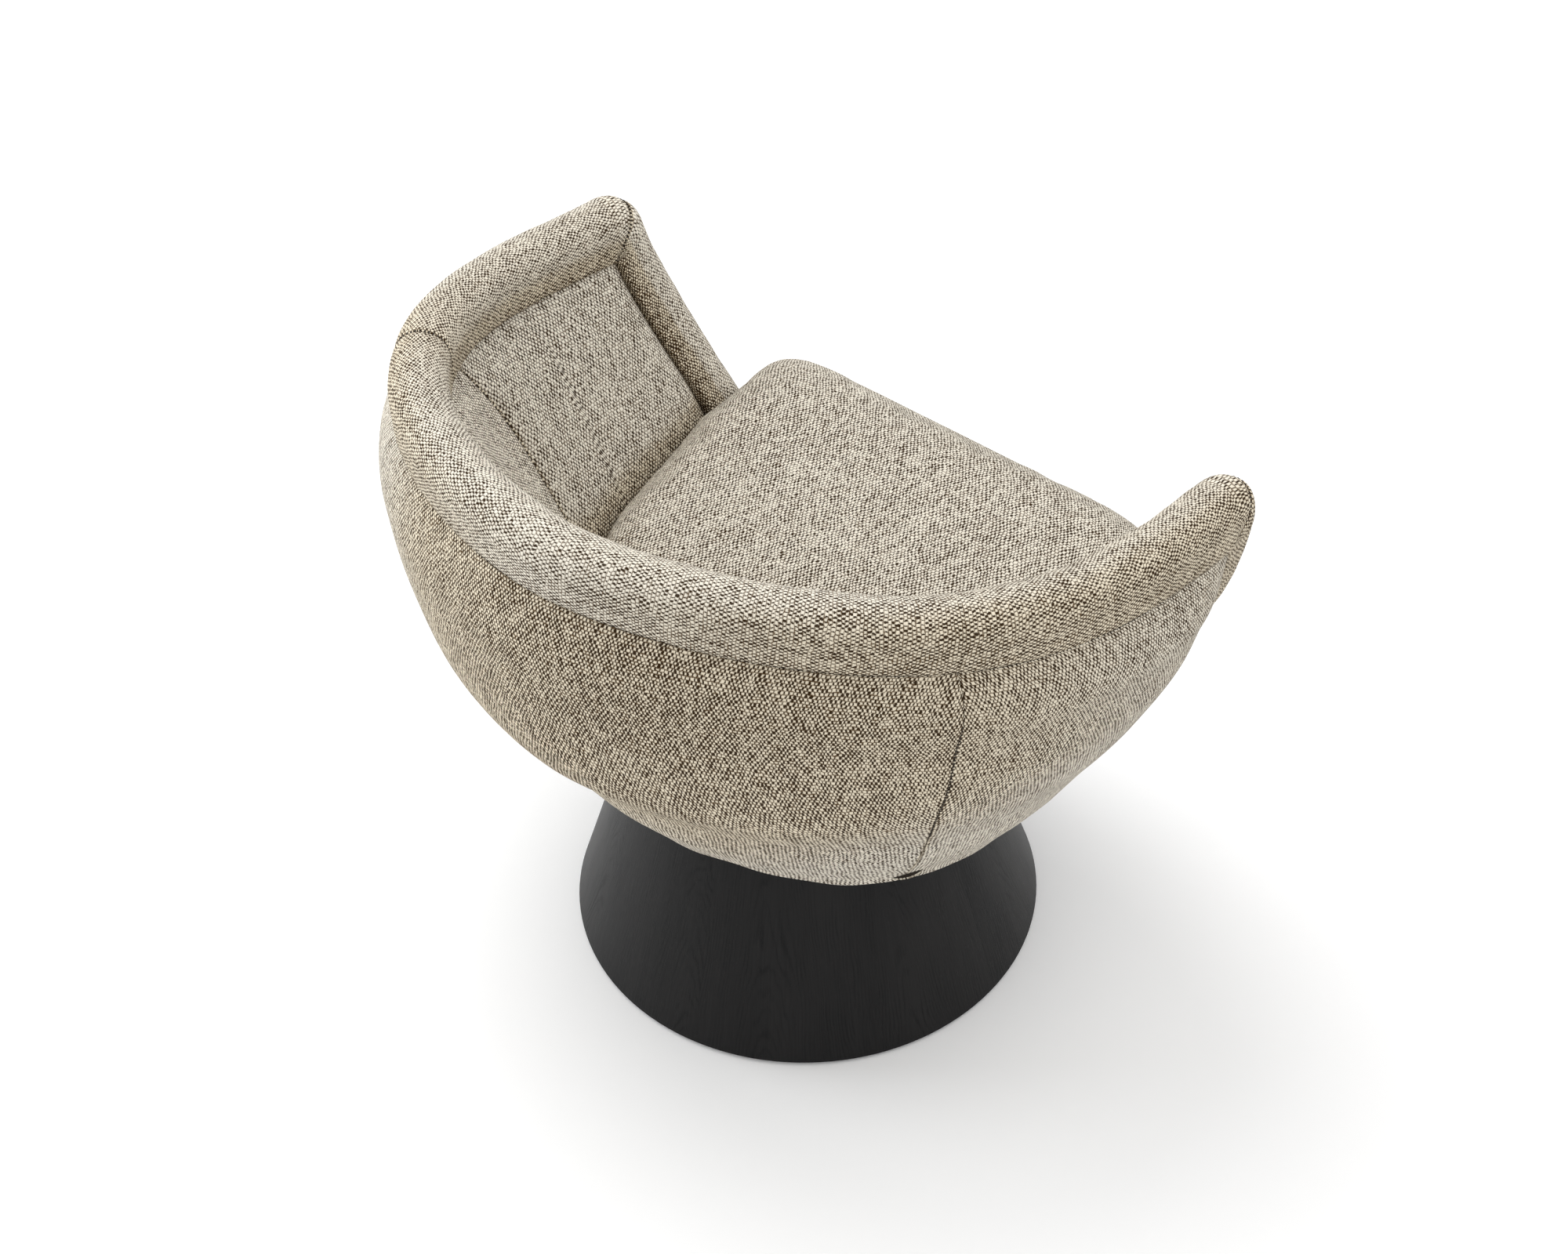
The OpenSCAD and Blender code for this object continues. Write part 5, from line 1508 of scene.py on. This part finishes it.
def mirrored(path):
    return tuple(part * np.array([-1, 1, 1]) for part in path)


def outer_joint():
    v = np.linspace(0.012, 0.975, 90)
    depth = 1.3 + 1.2 * groove(v * 430, 2.6)
    places = bowl_surface(np.array([SEAM_U]), v, depth[None, :])[0]
    facing = np.broadcast_to(bowl_columns(np.array([SEAM_U]))[1], places.shape)
    return places, facing, across_path(places, facing)


def inner_joint():
    w = np.linspace(0.02, 0.80, 50)
    u = inner_seam_u(w)[None, :]
    places = inner_surface(u, w, np.full(u.shape, -1.2))[0]
    facing = -inner_columns(inner_seam_u(w))[1]
    return places, facing, across_path(places, facing)


def roll_joint(s, depth):
    """Over the roll from its outer seam to its inner one."""
    centre, side, up = (part[0] for part in read_path(np.array([s])))
    outline_points = SECTION[:2 * SIDE_STEPS + TOP_STEPS]
    lift = float(roll_lift(s))
    a = outline_points[:, 0]
    b = np.where(outline_points[:, 1] > 0, outline_points[:, 1] * lift, outline_points[:, 1])
    out = unit(np.stack([a, np.maximum(b, 0) + 0.01], axis=-1))
    places = centre + side * (a - out[:, 0] * depth)[:, None] + up * (b - out[:, 1] * depth)[:, None]
    facing = side * out[:, 0:1] + up * out[:, 1:2]
    return places, facing, across_path(places, facing)


both_hands = [outer_joint(), inner_joint(), roll_joint(S_MITRE, 1.6)]
joint_paths = both_hands + [mirrored(path) for path in both_hands] + [roll_joint(S_SEAM, 1.5)]
threads = lay_threads("joint_threads", joint_paths, Spacing=0.0042, Length=0.0036, Thickness=0.0014,
                      Bow=0.0003, Unevenness=0.25, Sides=5, Finish=thread)
print("threads:", len(threads.data.polygons), "faces")

# %% Staples of the dust cover
ring = outline[:, :2] * 0.965
staple_places = np.concatenate([ring, np.full((len(ring), 1), COVER_Z - 0.35)], axis=1)
staple_places = np.concatenate([staple_places, staple_places[:1]])
down = np.broadcast_to(-Z_AXIS, staple_places.shape)
staple_path = (staple_places, down, np.gradient(staple_places, axis=0))
staples = lay_threads("cover_staples", [staple_path], Spacing=0.036, Length=0.010, Thickness=0.0009,
                      Bow=0.0002, Unevenness=0.12, Sides=4, Finish=steel)
print("staples:", len(staples.data.polygons), "faces")

# %% [markdown]
# ## Putting the pieces on the chair
# Every new piece rides on the tub's body, which turns on the base. Each cloth piece says which CAD
# node it stands for, and that node is hidden. The hard nodes stay as they are and get their finish.

# %% Dress the chair
def dress(piece, finish, *replaced, slot="woven_cloth", fill=None):
    piece.data.materials.clear()
    piece.data.materials.append(finish)
    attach(piece, "tub")
    if replaced:
        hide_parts(*replaced)


for node, piece in rolls.items():
    dress(piece, cloth, node, fill=0.85)
for node, piece in outer.items():
    dress(piece, cloth, node, fill=0.5)
for node, piece in inner.items():
    dress(piece, cloth, node, fill=0.6)
dress(apron, cloth, "front_apron", fill=0.5)
dress(cushion, cloth, "seat_cushion", fill=0.8)
dress(fold, cloth, "seam_fold", fill=0.2)
# The painted shade in the fold's pocket takes the dark thread finish.
dress(fold_painted_shade, thread)
dress(deck_pad, felt, "deck_pad", slot="felt", fill=0.7)
dress(dust_cover, felt, "dust_cover", slot="felt")
dress(threads, thread)
dress(staples, steel, slot="steel")

FINISH_OF_SLOT = {"woven_cloth": cloth, "black_oak": oak, "plywood": ply, "steel": steel,
                  "nylon": nylon, "felt": felt}
for part in frame["record"]["subparts"]:
    mesh = nodes[part["node"]].data
    mesh.materials.clear()
    mesh.materials.append(FINISH_OF_SLOT[part["material_slot"]])

# %% [markdown]
# ## Studio
# A pale floor, a white world and three broad lamps. The first hangs above, a little to the chair's
# left. A weaker one hangs in front on its right, and a slightly cool one stands low on its left
# behind. To the camera and in reflections the floor is white wherever nothing shades it, and it keeps
# the shadow.

# %% Floor and world
FLOOR_HALF = 15.0
FLOOR_GLOW = 0.045
WORLD_LIGHT = 0.81


def seen_ray(start):
    """1 on rays from the camera, also after a mirror or clear glass, and 0 on rays of soft light."""
    ray = start.node("ShaderNodeLightPath").socket.node
    seen = Wire(start.tree, ray.outputs["Is Camera Ray"])
    for label in ("Is Glossy Ray", "Is Transmission Ray"):
        seen = seen.maths("MAXIMUM", seen, Wire(start.tree, ray.outputs[label]))
    return seen


def studio_floor():
    half = FLOOR_HALF
    mesh = bpy.data.meshes.new("studio_floor")
    corners = [(-half, -half, 0), (half, -half, 0), (half, half, 0), (-half, half, 0)]
    mesh.from_pydata(corners, [], [(0, 1, 2, 3)])
    floor = new_object("studio_floor", mesh)
    material, shader, start = new_finish("pale_floor")
    feed(shader, Base_Color=(0.9, 0.9, 0.9, 1), Roughness=1.0, Specular_IOR_Level=0.0)
    seen = seen_ray(start)
    white = start.node("ShaderNodeBsdfPrincipled", None,
                       {"Base Color": (1.0, 1.0, 1.0, 1), "Roughness": 1.0, "Specular IOR Level": 0.0,
                        "Emission Color": (1, 1, 1, 1), "Emission Strength": FLOOR_GLOW})
    lit = Wire(start.tree, shader.outputs[0])
    both = start.node("ShaderNodeMixShader", None, {0: seen, 1: lit, 2: white})
    output = start.tree.nodes["Material Output"]
    start.tree.links.new(both.socket, output.inputs["Surface"])
    mesh.materials.append(material)


def studio_world(strength):
    world = bpy.data.worlds.new("studio")
    world.use_nodes = True
    start = Wire(world.node_tree)
    seen = seen_ray(start)
    background = world.node_tree.nodes["Background"]
    background.inputs["Color"].default_value = (1, 1, 1, 1)
    brightness = seen * (1 - strength) + strength
    start.tree.links.new(brightness.socket, background.inputs["Strength"])
    bpy.context.scene.world = world


studio_floor()
studio_world(WORLD_LIGHT)
bpy.context.scene.view_settings.view_transform = "Standard"

# %% Lamps
def soft_lamp(name, place, aim, size, power, tint=(1.0, 1.0, 1.0)):
    data = bpy.data.lights.new(name, "AREA")
    data.shape = "DISK"
    data.size = size
    data.energy = power
    data.color = tint
    lamp = new_object(name, data)
    lamp.location = place
    heading = Vector(aim) - Vector(place)
    lamp.rotation_euler = heading.to_track_quat("-Z", "Y").to_euler()


soft_lamp("key_lamp", (1.1, -0.3, 3.6), (0, 0, 0.4), 2.2, 39.0)
soft_lamp("fill_lamp", (-1.5, -0.9, 3.2), (0, 0, 0.4), 2.4, 14.0)
soft_lamp("side_lamp", (3.1, 1.0, 1.0), (0, 0, 0.4), 2.2, 56.0, (0.94, 0.97, 1.0))

# %% [markdown]
# ## Camera
# The photograph looks down on the chair from behind it and from its right. The camera is given by
# the floor point it looks at, its elevation and heading, its distance and a small roll.

# %% Camera
LOOK_AT = Vector((0.26005, -0.32004, 0.0))
ELEVATION = math.radians(43.78)
HEADING = math.radians(39.98)
DISTANCE = 3.164
ROLL = math.radians(-2.26)
LENS = 63
SENSOR = 36


def set_camera():
    ce, se = math.cos(ELEVATION), math.sin(ELEVATION)
    ch, sh = math.cos(HEADING), math.sin(HEADING)
    forward = Vector((ce * sh, -ce * ch, -se))
    right = Vector((-ch, -sh, 0))
    up = Vector((se * sh, -se * ch, ce))
    turned_right = right * math.cos(ROLL) + up * math.sin(ROLL)
    turned_up = up * math.cos(ROLL) - right * math.sin(ROLL)
    data = bpy.data.cameras.new("camera")
    data.lens = LENS
    data.sensor_width = SENSOR
    camera = new_object("camera", data)
    turn = Matrix((turned_right, turned_up, -forward)).transposed().to_4x4()
    camera.matrix_world = Matrix.Translation(LOOK_AT - forward * DISTANCE) @ turn
    bpy.context.scene.camera = camera
    return camera


camera = set_camera()
print("camera at", [round(v, 3) for v in camera.matrix_world.translation])
